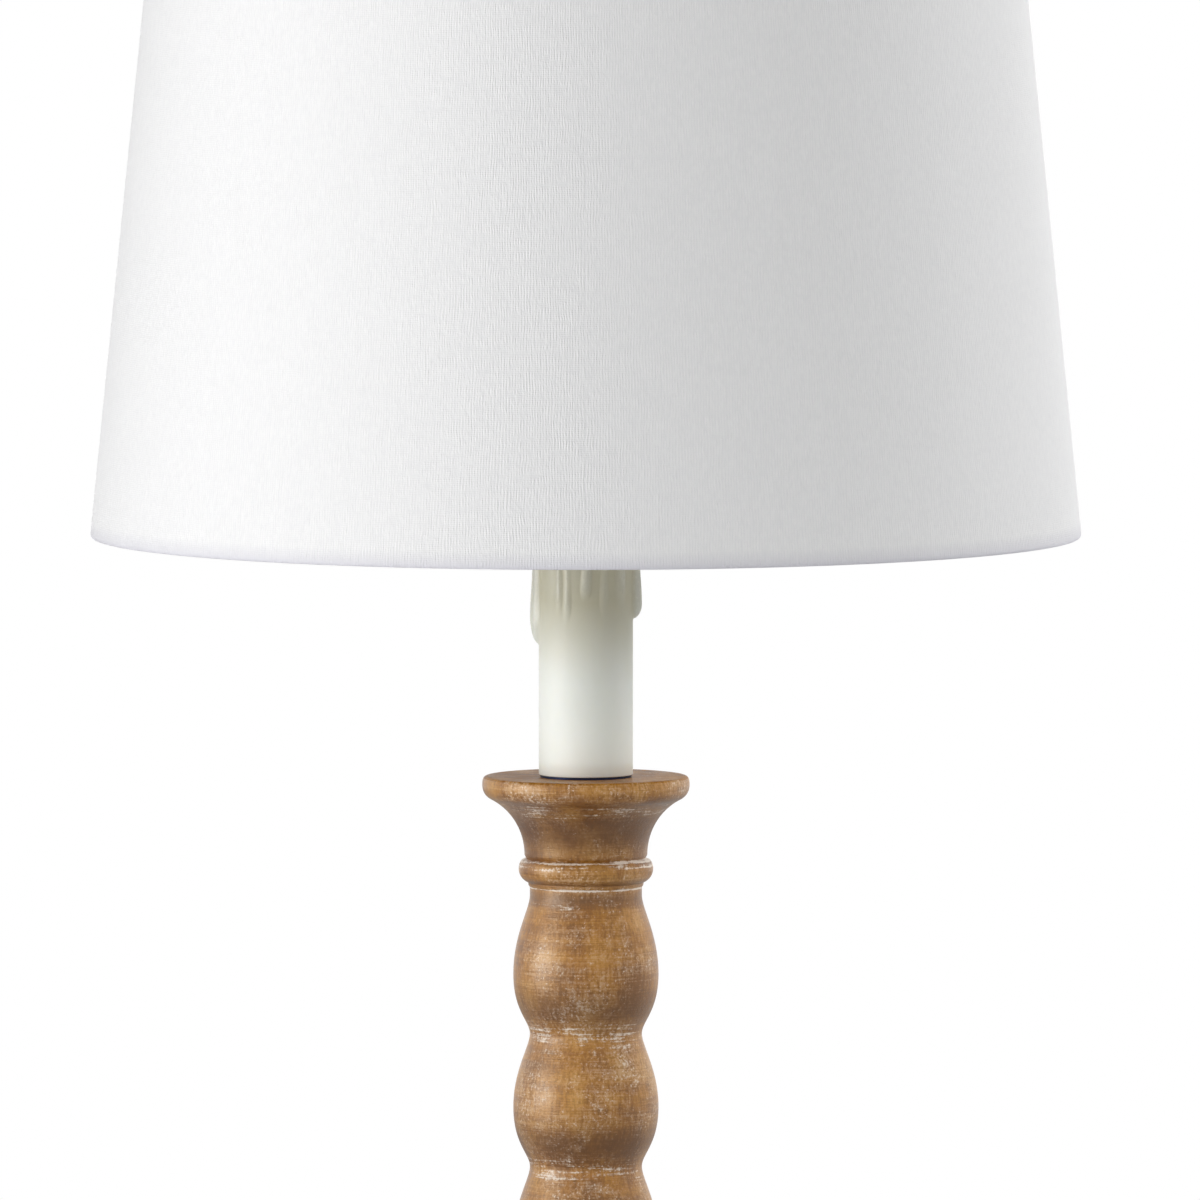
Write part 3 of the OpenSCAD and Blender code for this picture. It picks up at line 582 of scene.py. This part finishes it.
def make_column():
    outline = tenon(Z_COLUMN) + [(NECK_R, Z_COLUMN)]
    for low, high in zip(NECKS, NECKS[1:]):
        bobbin(outline, low, high)
    outline += [(NECK_R, Z_JOINT - below) for below in (1.4, 0.9, 0.6, 0.3, 0)]  # close rows for the masks
    outline += socket(Z_JOINT)
    masks = {"wash": marks(COLUMN_WASH), "darkening": marks(COLUMN_STAIN_AND_SHADE)}
    piece = turned("turned_column", outline, masks=masks)
    dress(piece, WOOD, "lamp", "wood", "column")


# Candle cup

BEAD_BOTTOM = 2
BEAD_TOP = BEAD_BOTTOM + BEAD_H - 0.6
COVE_BOTTOM = BEAD_TOP + 1.8
LIP_BOTTOM = CUP_H - LIP_H
LIP_REACH = 3.2  # how far the lip stands out past the cove
RIM_ROLL = 1.3  # how far the lip's upper edge rolls in
DISH_ROWS = 12
TOP_DEPTH = 0.5  # faces no deeper than this under the rim are the cup's top
CUP_WASH = [
    (0.25, LIP_BOTTOM - 2.5, 4),  # under the lip
    (0.56, BEAD_TOP + 0.2, 0.8),  # in the groove over the bead
    (0.34, BEAD_TOP - 1.5, 1.6),  # on the bead's shoulder
    (JOINT_WASH, 0.1, JOINT_SPREAD),
]
# Darker where staining pools and where shade falls: partly real, partly painted shade under the bead, in the
# cove and under the lip.
CUP_STAIN_AND_SHADE = [
    (0.7, BEAD_BOTTOM, 1.2),  # under the bead
    (1.0, LIP_BOTTOM - 10, 10),  # in the cove
    (0.6, LIP_BOTTOM, 2),  # under the lip
]


def cup_outline():
    outline = tenon(0) + [(NECK_R, 0), (NECK_R + 0.2, 0.3), (NECK_R + 0.4, 0.6)]
    outline += [(NECK_R + 0.5, 0.9), (NECK_R + 0.6, BEAD_BOTTOM - 0.4)]
    bead_end = (STEM_R + 0.9, BEAD_TOP)
    bend(outline, (BEAD_R + 0.1, BEAD_BOTTOM + 1), (BEAD_R + 0.5, BEAD_TOP - 2), bead_end, 18)
    outline += [(STEM_R - 0.6, BEAD_TOP + 0.7), (STEM_R - 0.2, BEAD_TOP + 1.3), (STEM_R, COVE_BOTTOM)]
    lip_edge = (LIP_R - LIP_REACH, LIP_BOTTOM)
    bend(outline, (STEM_R + 0.1, COVE_BOTTOM + 7.7), (STEM_R + 4, LIP_BOTTOM - 3.8), lip_edge, 34)
    widest = (LIP_R, LIP_BOTTOM + LIP_H * 0.64)
    bend(outline, (LIP_R - 1, LIP_BOTTOM + 1), (LIP_R, LIP_BOTTOM + LIP_H * 0.35), widest, 12)
    bend(outline, (LIP_R, CUP_H - 1.1), (LIP_R - 0.4, CUP_H - 0.2), (LIP_R - RIM_ROLL, CUP_H), 10)
    dish = SLEEVE_R + 0.5 - LIP_R + RIM_ROLL
    for i in range(1, DISH_ROWS + 1):
        outline.append((LIP_R - RIM_ROLL + dish * i / DISH_ROWS, CUP_H - DISH_H * i / DISH_ROWS))
    outline.append((WOOD_BORE_R, CUP_H - DISH_H))
    return [(r, z + Z_JOINT) for r, z in outline]


def make_cup():
    """The cup. Its flat top has no varnish."""
    masks = {"wash": marks(CUP_WASH, Z_JOINT), "darkening": marks(CUP_STAIN_AND_SHADE, Z_JOINT)}
    piece = turned("turned_cup", cup_outline(), segments=256, masks=masks)
    dress(piece, WOOD, "lamp", "wood", "candle_cup")
    piece.data.materials.append(BARE_WOOD)
    for face in piece.data.polygons:
        if face.center.z > (Z_JOINT + CUP_H - TOP_DEPTH) * MM:
            face.material_index = 1


# Foot

FOOT_EDGE = 3
FOOT_STEP = 8
FOOT_STEP_H = 2
FOOT_BEAD_H = 8
FOOT_GROOVE = 2
Z_FOOT_BEAD = FOOT_H - 13 - FOOT_BEAD_H
INLET_Z = Z_FOOT + PLINTH_H / 2
INLET_SEAT_Y = FOOT_R - 3.5
INLET_TUBE_R = 4.5
INLET_FLANGE_R = 6.5
SLIVER = 0.000005  # the longest edge of a sliver, in metres
FOOT_GROOVES = (PLINTH_H + 1, Z_FOOT_BEAD - 0.5, Z_FOOT_BEAD + FOOT_BEAD_H + 0.5)
FOOT_WASH = [(0.62, height, 1) for height in FOOT_GROOVES] + [(0.38, FOOT_H, 3)]
# Darker over the plinth, under the bead and at the lower edge: real staining and painted shade.
FOOT_STAIN_AND_SHADE = [(0.6, PLINTH_H + 5, 4), (0.6, Z_FOOT_BEAD - 4, 4), (0.5, 1, 3)]


def foot_outline():
    waist = FOOT_BEAD_R - FOOT_GROOVE
    bead_top = Z_FOOT_BEAD + FOOT_BEAD_H
    step = FOOT_R - FOOT_STEP
    outline = [(HOLLOW_R, 0), (FOOT_R - FOOT_EDGE, 0)]
    bend(outline, (FOOT_R - 1, 0), (FOOT_R, 2), (FOOT_R, PLINTH_H * 0.45))
    bend(outline, (FOOT_R, PLINTH_H * 0.85), (FOOT_R - 2, PLINTH_H), (step + 2, PLINTH_H))
    outline += [(step, PLINTH_H), (step, PLINTH_H + FOOT_STEP_H)]
    bend(outline, (step - 4, PLINTH_H + 20), (FOOT_BEAD_R + 10, PLINTH_H + 7), (waist, Z_FOOT_BEAD - 1), 40)
    outline.append((waist, Z_FOOT_BEAD))
    bend(outline, (FOOT_BEAD_R + 1, Z_FOOT_BEAD + 1), (FOOT_BEAD_R + 1, bead_top - 1), (waist, bead_top), 18)
    outline.append((waist, bead_top + 1))
    bend(outline, (NECK_R + 1, bead_top + 2), (NECK_R, FOOT_H - 5), (NECK_R, FOOT_H))
    outline += socket(FOOT_H)
    outline += [(WOOD_BORE_R, HOLLOW_H), (HOLLOW_R, HOLLOW_H)]
    return [(r, z + Z_FOOT) for r, z in outline]


def drill(piece, start, end, radius):
    """Cuts a round hole along Y, from start to end, at the height of the cord's inlet."""
    ring = [(radius, start), (radius, end), (0, end), (0, start)]
    cutter = turned("cutter", ring, segments=48)
    spin = np.array([(v.co.x, v.co.z, INLET_Z * MM - v.co.y) for v in cutter.data.vertices])
    cutter.data.vertices.foreach_set("co", spin.ravel())
    outward(cutter.data)
    cut = piece.modifiers.new("cut", "BOOLEAN")
    cut.operation = "DIFFERENCE"
    cut.solver = "EXACT"
    cut.object = cutter
    bpy.context.view_layer.objects.active = piece
    bpy.ops.object.modifier_apply(modifier="cut")
    bpy.data.objects.remove(cutter)


def clean_cut(mesh):
    """Takes out the slivers that drilling leaves."""
    shape = bmesh.new()
    shape.from_mesh(mesh)
    bmesh.ops.remove_doubles(shape, verts=shape.verts, dist=SLIVER)
    bmesh.ops.triangulate(shape, faces=[face for face in shape.faces if len(face.verts) > 4])
    bmesh.ops.dissolve_degenerate(shape, dist=SLIVER, edges=shape.edges)
    shape.to_mesh(mesh)
    shape.free()


def make_foot():
    masks = {"wash": marks(FOOT_WASH, Z_FOOT), "darkening": marks(FOOT_STAIN_AND_SHADE, Z_FOOT)}
    piece = turned("turned_foot", foot_outline(), segments=256, masks=masks)
    drill(piece, HOLLOW_R - 5, FOOT_R + 5, INLET_TUBE_R)
    drill(piece, INLET_SEAT_Y, FOOT_R + 5, INLET_FLANGE_R)
    clean_cut(piece.data)
    dress(piece, WOOD, "lamp", "wood", "foot")


make_column()
make_cup()
make_foot()


# Finial's knob

Z_FINIAL_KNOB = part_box("finial_knob")[0][2] / MM
FINIAL_R = 9
FINIAL_H = 22
FINIAL_FOOT_R = 6
FINIAL_WAIST_R = 3
FINIAL_WASH = [(0.55, FINIAL_H * 0.84, 0.9)]
# Darker at the knob's foot: real staining and painted shade.
FINIAL_STAIN_AND_SHADE = [(0.6, 1, 3)]


def make_finial():
    h = FINIAL_H
    outline = [(0, 0), (FINIAL_FOOT_R, 0)]
    bend(outline, (FINIAL_R - 1, 1), (FINIAL_R, h * 0.2), (FINIAL_R, h * 0.42), 16)
    bend(outline, (FINIAL_R, h * 0.7), (4, h * 0.72), (FINIAL_WAIST_R, h * 0.86), 20)
    bend(outline, (3.4, h * 0.95), (2, h), (0, h), 12)
    outline = [(r, z + Z_FINIAL_KNOB) for r, z in outline]
    masks = {"wash": marks(FINIAL_WASH, Z_FINIAL_KNOB, 0), "darkening": marks(FINIAL_STAIN_AND_SHADE, Z_FINIAL_KNOB, 0)}
    dress(turned("turned_finial", outline, 96, masks=masks), WOOD, "finial", "wood", "finial_knob")


make_finial()


# Bulb and threads

Z_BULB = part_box("bulb_contact")[0][2] / MM
BULB_R = 30
BULB_H = 108
BULB_WALL = 0.9
BULB_NECK_R = 12.2
BULB_COLLAR = 24  # height of the base's upper edge
BULB_SKIRT = 7  # and of its insulator's edge
BULB_BASE_R = 13.1
BULB_THREAD_PITCH = 25.4 / 7
BULB_THREAD_DEPTH = 0.8
THREAD_FADE = 1.5  # how far a thread takes to reach its full depth
THREAD_ROW = 0.25  # height of a row of faces in the bulb's thread
BULB_ROUND = 30  # rows over the bulb's round end
CONTACT_R = 4.6  # the hole for the insulator and its contact
COLLAR_T = 0.6  # how far the base's collar stands out
Z_SCREW_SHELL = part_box("screw_shell")[0][2] / MM
SCREW_SHELL_H = 21
SCREW_SHELL_R = BULB_BASE_R + 0.4
SCREW_SHELL_WALL = 0.4
SCREW_LIP_R = 8.5
Z_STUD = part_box("harp_stud")[1][2] / MM
STUD_R = 3.1
STUD_H = 12
STUD_SEAT_R = 5.5
STUD_SEAT_T = 2
STUD_THREAD_PITCH = 25.4 / 27
STUD_THREAD_DEPTH = 0.45
STUD_THREAD_ROW = 0.1
HARP_WIRE_R = 1.8
RIVET_R = 2
RIVET_HEAD_R = 3.4
RIVET_HEAD_T = 1.2


def thread(low, high, pitch, depth, inner, round_crest):
    """A reach that moves points wider than inner, between two heights, in to a screw thread's groove."""

    def reach(angles, r, z):
        fade = min(1.0, max(0.0, min(z - low, high - z) / THREAD_FADE))
        turn = np.mod(z / pitch - angles / (2 * math.pi), 1)
        groove = 0.5 - 0.5 * np.cos(2 * math.pi * turn) if round_crest else 1 - np.abs(2 * turn - 1)
        return r - depth * fade * groove if r > inner else np.full(len(angles), float(r))

    return reach


def rows(r, low, high, step):
    """Points up a straight side, near enough together for a thread."""
    count = round((high - low) / step)
    return [(r, low + (high - low) * i / count) for i in range(count + 1)]


def envelope(wall):
    """The glass from its neck to its tip, drawn in by a wall."""
    r, neck, wide = BULB_R - wall, BULB_NECK_R - wall, BULB_H - BULB_R
    outline = [(neck, BULB_SKIRT + 1), (neck, BULB_COLLAR)]
    bend(outline, (neck + 0.6, BULB_COLLAR + 20), (r, BULB_COLLAR + 26), (r, wide), 40)
    tip = [math.radians(90 * i / BULB_ROUND) for i in range(1, BULB_ROUND)]
    outline += [(r * math.cos(a), wide + r * math.sin(a)) for a in tip]
    return outline + [(0, wide + r)]


def make_bulb_glass():
    outline = [(r, z + Z_BULB) for r, z in envelope(0) + envelope(BULB_WALL)[::-1]]
    dress(turned("glass_envelope", outline, 128), FROSTED, "bulb", "bulb_white", "bulb_glass")


def make_bulb_base():
    """The bulb's nickel base: a thin wall that narrows to the insulator, a thread, and a plain collar."""
    thread_top = BULB_COLLAR - 4
    collar_r = BULB_BASE_R + COLLAR_T
    bore_r = BULB_NECK_R + 0.25
    outline = [(CONTACT_R, 2.6), (BULB_BASE_R - 1.6, BULB_SKIRT - 1.6)]
    outline += rows(BULB_BASE_R, BULB_SKIRT, thread_top, THREAD_ROW)
    outline += [(collar_r, BULB_COLLAR - 3), (collar_r, BULB_COLLAR - 0.3), (BULB_BASE_R + 0.3, BULB_COLLAR)]
    outline += [(bore_r, BULB_COLLAR), (bore_r, BULB_SKIRT + 0.4), (CONTACT_R, 3.2)]
    outline = [(r, z + Z_BULB) for r, z in outline]
    low, high = Z_BULB + BULB_SKIRT, Z_BULB + thread_top
    reach = thread(low, high, BULB_THREAD_PITCH, BULB_THREAD_DEPTH, BULB_NECK_R + 0.5, True)
    dress(turned("threaded_base", outline, 128, reach, smooth=50), NICKEL, "bulb", "nickel", "bulb_base")


def make_screw_shell():
    """The socket's brass shell, pressed to the bulb's thread."""
    outer = SCREW_SHELL_R + SCREW_SHELL_WALL
    outline = [(SCREW_LIP_R, 0)] + rows(outer, 0, SCREW_SHELL_H, THREAD_ROW)
    outline += rows(SCREW_SHELL_R, SCREW_SHELL_WALL, SCREW_SHELL_H, THREAD_ROW)[::-1]
    outline += [(SCREW_LIP_R, SCREW_SHELL_WALL)]
    outline = [(r, z + Z_SCREW_SHELL) for r, z in outline]
    low, high = Z_SCREW_SHELL + 1, Z_SCREW_SHELL + SCREW_SHELL_H - 1
    reach = thread(low, high, BULB_THREAD_PITCH, BULB_THREAD_DEPTH, BULB_NECK_R, True)
    dress(turned("pressed_shell", outline, 128, reach, smooth=50), BRASS, "lamp", "brass", "screw_shell")


def make_stud():
    """The harp's threaded stud, riveted through the wire."""
    crown = Z_STUD - STUD_H - STUD_SEAT_T - HARP_WIRE_R
    seat = HARP_WIRE_R + STUD_SEAT_T
    outline = [(0, -HARP_WIRE_R - RIVET_HEAD_T), (RIVET_HEAD_R - 0.8, -HARP_WIRE_R - RIVET_HEAD_T)]
    outline += [(RIVET_HEAD_R - 0.2, -HARP_WIRE_R - RIVET_HEAD_T / 2), (RIVET_HEAD_R, -HARP_WIRE_R)]
    outline += [(RIVET_R, -HARP_WIRE_R), (RIVET_R, HARP_WIRE_R), (STUD_SEAT_R - 0.2, HARP_WIRE_R)]
    outline += [(STUD_SEAT_R, HARP_WIRE_R + 0.2), (STUD_SEAT_R, seat - 0.3), (STUD_SEAT_R - 0.3, seat)]
    outline += rows(STUD_R, seat, seat + STUD_H - 0.6, STUD_THREAD_ROW)
    outline += [(STUD_R - 0.6, seat + STUD_H), (0, seat + STUD_H)]
    outline = [(r, z + crown) for r, z in outline]
    low, high = crown + seat, crown + seat + STUD_H + THREAD_FADE
    reach = thread(low, high, STUD_THREAD_PITCH, STUD_THREAD_DEPTH, STUD_R - 0.1, False)
    dress(turned("threaded_stud", outline, 96, reach), BRASS, "lamp", "brass", "harp_stud")


make_bulb_glass()
make_bulb_base()
make_screw_shell()
make_stud()


# Candle sleeve

Z_SLEEVE = Z_JOINT + CUP_H - DISH_H + SEAT_RING_T
Z_SLEEVE_TOP = Z_SLEEVE + SLEEVE_H
DRIP_SEAT = 0.5  # how deep a drip's axis lies inside the tube's face
WAX_RIM_H = 9  # the thick rim of wax round the sleeve's top
WAX_RIM_T = 1
WAX_BLEND = 0.3  # how softly drips run together
WAX_EDGE_H = 2.5  # height over which the wax thins out at the sleeve's top
WAX_H = 62  # how far down the sleeve is meshed finely
WAX_ROW = 0.4
PLAIN_ROWS = 8  # rows below that
TEAR_H = 17  # how far a drip's tear reaches above its widest place
TEAR_SWELL = 1.28  # and how much wider it is than the drip above it
DRIP_SWAY = 1.2  # how far a drip wanders from its azimuth, in degrees
DRIP_SWAY_H = 7  # height over which it wanders by a radian of its wave
# Each drip: its azimuth from the front, how far down it runs, its share of the full width, how far above its
# end it is widest, and how much of its full relief it has
DRIPS = [
    (-90, 59, 1.08, 9.5, 1), (-46, 51, 0.95, 8, 0.16), (-36, 49, 0.46, 6, 0.7), (-24, 52, 0.42, 6, 0.7),
    (-17, 47, 1.3, 7, 0.12), (0, 44, 0.52, 5, 0.75), (24, 50, 0.44, 6, 0.6), (48, 49, 0.75, 8, 0.4),
    (90, 50.5, 1.1, 5, 1), (116, 40, 0.9, 8, 0.7), (144, 54, 1, 9, 0.6), (173, 44, 0.85, 6, 0.7),
    (203, 50, 1.05, 9, 0.6), (238, 38, 0.9, 7, 0.8),
]
DRIP_SPREAD = 1.25  # how far a drip's shoulders run out, over its half width
DRIP_ROUND = 1.3  # how steeply they fall
RIM_ROUND = 0.7
DRIP_FADE = 22  # how far up from its end a drip without relief takes to rise
THICK_WAX = 1.6  # wax this thick is painted fully as wax
TOP_SHADE_H = 70  # how far below the top the painted shade starts
TOP_SHADE_FADE = 26  # and the height over which it comes up


def drip_width(up, stem, tip):
    """A drip's half width at a height above its lower end."""
    tear = stem * TEAR_SWELL
    if up < tip:
        return tear * math.sqrt(1 - (1 - up / tip) ** 2)
    if up < tip + TEAR_H:
        t = (up - tip) / TEAR_H
        return tear + (stem - tear) * t * t * (3 - 2 * t)
    return stem


def wax_depth(angles, z):
    """Thickness of the wax over the tube at a height, for an array of angles."""
    down = Z_SLEEVE_TOP - z
    runs = np.zeros(len(angles))
    for azimuth, run, share, tip, relief in DRIPS:
        up = run - down
        if up <= 0:
            continue
        half = drip_width(up, DRIP_R * share, tip)
        middle = math.radians(azimuth + DRIP_SWAY * math.sin(z / DRIP_SWAY_H + azimuth))
        offset = np.angle(np.exp(1j * (angles - middle))) * SLEEVE_R
        height = max(0.0, half - DRIP_SEAT) * relief * min(1.0, up / (DRIP_FADE * (1.001 - relief)))
        rise = height * np.clip(1 - (offset / (half * DRIP_SPREAD)) ** 2, 0, None) ** DRIP_ROUND
        runs += np.exp(rise / WAX_BLEND) - 1
    rim = WAX_RIM_T * min(1.0, 2 * max(0.0, 1 - down / WAX_RIM_H)) ** RIM_ROUND
    runs += math.exp(rim / WAX_BLEND) - 1
    depth = WAX_BLEND * np.log1p(runs)
    edge = min(1.0, down / WAX_EDGE_H)
    return depth * math.sqrt(max(0.0, 1 - (1 - edge) ** 2))


def make_sleeve():
    wax_bottom = Z_SLEEVE_TOP - WAX_H
    outline = [(SLEEVE_BORE_R, Z_SLEEVE), (SLEEVE_R - 0.3, Z_SLEEVE), (SLEEVE_R, Z_SLEEVE + 0.3)]
    for i in range(1, PLAIN_ROWS + 1):
        outline.append((SLEEVE_R, Z_SLEEVE + (wax_bottom - Z_SLEEVE) * i / PLAIN_ROWS))
    outline += [(SLEEVE_R, wax_bottom + WAX_ROW * i) for i in range(1, round(WAX_H / WAX_ROW) + 1)]
    outline += [(SLEEVE_BORE_R, Z_SLEEVE_TOP)]

    def reach(angles, r, z):
        if r < SLEEVE_R:
            return np.full(len(angles), float(r))
        return r + wax_depth(angles, z)

    masks = {
        "wax": lambda r, z: min(1.0, max(0.0, (r - SLEEVE_R) / THICK_WAX)),
        # painted shade, darker and yellower toward the sleeve's top
        "top_shade": lambda r, z: min(1.0, max(0.0, (z - Z_SLEEVE_TOP + TOP_SHADE_H) / TOP_SHADE_FADE)),
    }
    piece = turned("drip_sleeve", outline, segments=480, reach=reach, masks=masks, smooth=60)
    dress(piece, WAX, "lamp", "sleeve", "candle_sleeve")


make_sleeve()


# Shade's cloth

Z_SHADE_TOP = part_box("shade_top_hem")[1][2] / MM
Z_RIM = Z_SHADE_TOP - SHADE_H
ROLL_H = 1.6  # the cloth's roll over a ring wire, along the shade's side
ROLL_D = 0.9  # and into it
SEAM_W = 9  # how far the cloth overlaps itself at the back
SEAM_T = 0.45
SEAM_FOLD = 0.6  # how wide the overlap's folded edge is
SEAM_EASE = 0.35  # the power by which the overlap eases off
ON_SIDE = 0.02  # how near the cone a point of the cloth's outside lies
# how far the painted shade at the rims spreads
RIM_SHADE_SPREAD = 2.2
CLOTH_SEGMENTS = 720
SIDE_ROWS = 60


def shade_r(z):
    """Outer radius of the shade at a height above its rim."""
    return SHADE_BOTTOM_R - (SHADE_BOTTOM_R - SHADE_TOP_R) * z / SHADE_H


def seam_rise(angles, radius):
    """How far the overlap lifts the cloth: a folded edge at the back, easing off to one side."""
    past = np.mod(angles - math.pi, 2 * math.pi) * radius
    lift = np.where(past < SEAM_W, SEAM_T * (1 - past / SEAM_W) ** SEAM_EASE, 0.0)
    return np.where(past < SEAM_FOLD, SEAM_T * np.sin(past / SEAM_FOLD * math.pi / 2), lift)


def turned_edge():
    """The cloth's outer face over a ring wire, from its turned-in end, as (way along the side, depth)."""
    quarter = [math.radians(a) for a in range(0, 91, 15)]
    inner = [(ROLL_D * (1 - math.sin(a)), HEM_W - ROLL_D * (1 - math.cos(a))) for a in quarter]
    outer = [(ROLL_H * (1 - math.sin(a)), ROLL_D * (1 - math.cos(a))) for a in reversed(quarter)]
    return [(HEM_H, HEM_END), (HEM_H, HEM_END + CLOTH_T), (HEM_TURN, HEM_W)] + inner + outer


def painted_rim_shade(r, z):
    """How much painted shade greys the cloth at a height: most of it at the lower edge, a little at the top
    edge.
    """
    return max(0.8 * bump_at(z, Z_RIM, RIM_SHADE_SPREAD), 0.2 * bump_at(z, Z_SHADE_TOP, RIM_SHADE_SPREAD))


def make_cloth():
    """One cloth: up the outside, over both ring wires and down inside the backing."""

    def at(along, depth, top=False):
        z = SHADE_H - along if top else along
        return shade_r(z) - depth, z + Z_RIM

    inside = [(HEM_TURN, HEM_W - CLOTH_T), (CLOTH_T, HEM_W - CLOTH_T), (CLOTH_T, CLOTH_T)]
    length = SHADE_H - 2 * ROLL_H
    outline = [at(*point) for point in turned_edge()]
    outline += [at(ROLL_H + length * i / SIDE_ROWS, 0) for i in range(1, SIDE_ROWS)]
    outline += [at(*point, top=True) for point in reversed(turned_edge())]
    outline += [at(*point, top=True) for point in inside]
    outline += [at(*point) for point in reversed(inside)]

    def reach(angles, r, z):
        outside = abs(r - shade_r(z - Z_RIM)) < ON_SIDE
        return r + seam_rise(angles, r) if outside else np.full(len(angles), float(r))

    piece = turned("shade_cloth", outline, CLOTH_SEGMENTS, reach, {"rim_shade": painted_rim_shade}, smooth=50)
    dress(piece, CLOTH, "shade", "cloth", "shade_fabric", "shade_top_hem", "shade_bottom_hem")
    return piece


cloth = make_cloth()


# Stage and light

FLOOR_R = 3.0
FLOOR_Z = -0.0003  # just clear of the felt
FLOOR_LIFT = 0.3  # how much paler the camera sees the floor near the lamp than its light makes it
FLOOR_NEAR = 0.7  # where the floor starts to fade to the background's white
FLOOR_FAR = 2.0  # and where it has
FLOOR_SIDES = 96
WORLD_LIGHT = 0.05
LIGHT_DISTANCE = 2.6
# Soft boxes: azimuth (0 is the front, and 90 the right), elevation, width, height, power, and whether it
# leaves a highlight of its own
LIGHTS = {
    "key": (-71, 4, 1.7, 1.1, 35.7, True),
    "front": (-20, 16, 0.8, 0.8, 25, False),
    "right": (85, 18, 0.8, 0.8, 24.4, False),
    "back": (126, 18, 1.0, 1.1, 29, False),
    "above": (180, 52, 1.0, 1.0, 15, False),
}


def add_floor():
    """A pale floor that keeps the lamp's shadow, and fades to white far away."""
    mesh = bpy.data.meshes.new("floor")
    turns = np.linspace(0, 2 * math.pi, FLOOR_SIDES + 1)[:-1]
    rim = [(FLOOR_R * math.cos(a), FLOOR_R * math.sin(a), FLOOR_Z) for a in turns]
    sectors = [(0, i + 1, (i + 1) % FLOOR_SIDES + 1) for i in range(FLOOR_SIDES)]
    mesh.from_pydata([(0, 0, FLOOR_Z)] + rim, [], sectors)
    floor = bpy.data.objects.new("floor", mesh)
    bpy.context.scene.collection.objects.link(floor)
    g = Graph("floor")
    cloud = g.noise(3, 3, 3, 2, 0.5)
    tint = g.mix(g.step(cloud, 0.3, 0.7), rgb(226, 226, 226), rgb(221, 221, 221))
    seen = g.node("ShaderNodeLightPath").outputs["Is Camera Ray"]
    away = g.node("ShaderNodeVectorMath", {0: g.place}, operation="LENGTH").outputs["Value"]
    lift = g.times(seen, g.step(away, FLOOR_NEAR, FLOOR_FAR, FLOOR_LIFT, 1.0))
    pale = g.finish(Base_Color=tint, Roughness=0.8, Emission_Color=(1, 1, 1, 1), Emission_Strength=lift)
    mesh.materials.append(pale)


def add_world():
    """Even grey light, with white wherever the camera, a gloss or a glass looks past the lamp."""
    world = bpy.data.worlds.new("studio")
    world.use_nodes = True
    tree = world.node_tree
    tree.nodes.clear()
    path = tree.nodes.new("ShaderNodeLightPath")
    seen = path.outputs["Is Camera Ray"]
    for ray in ("Is Glossy Ray", "Is Transmission Ray"):
        either = tree.nodes.new("ShaderNodeMath")
        either.operation = "MAXIMUM"
        tree.links.new(seen, either.inputs[0])
        tree.links.new(path.outputs[ray], either.inputs[1])
        seen = either.outputs[0]
    level = tree.nodes.new("ShaderNodeMapRange")
    level.inputs["To Min"].default_value = WORLD_LIGHT
    level.inputs["To Max"].default_value = 1.0
    tree.links.new(seen, level.inputs["Value"])
    sky = tree.nodes.new("ShaderNodeBackground")
    tree.links.new(level.outputs["Result"], sky.inputs["Strength"])
    sky.inputs["Color"].default_value = (1, 1, 1, 1)
    out = tree.nodes.new("ShaderNodeOutputWorld")
    tree.links.new(sky.outputs["Background"], out.inputs["Surface"])
    bpy.context.scene.world = world


def add_light(name, azimuth, elevation, width, height, power, gloss):
    """A soft box that faces the middle of the picture."""
    data = bpy.data.lights.new(name, "AREA")
    data.shape = "RECTANGLE"
    data.size = width
    data.size_y = height
    data.energy = power
    lamp = bpy.data.objects.new(name, data)
    lamp.visible_camera = False
    lamp.visible_glossy = gloss
    bpy.context.scene.collection.objects.link(lamp)
    a, e = math.radians(azimuth), math.radians(elevation)
    way = Vector((math.sin(a) * math.cos(e), -math.cos(a) * math.cos(e), math.sin(e)))
    lamp.location = Vector((0, 0, VIEW_HEIGHT)) + LIGHT_DISTANCE * way
    lamp.rotation_euler = way.to_track_quat("Z", "Y").to_euler()


add_floor()
add_world()
for name, values in LIGHTS.items():
    add_light(name, *values)
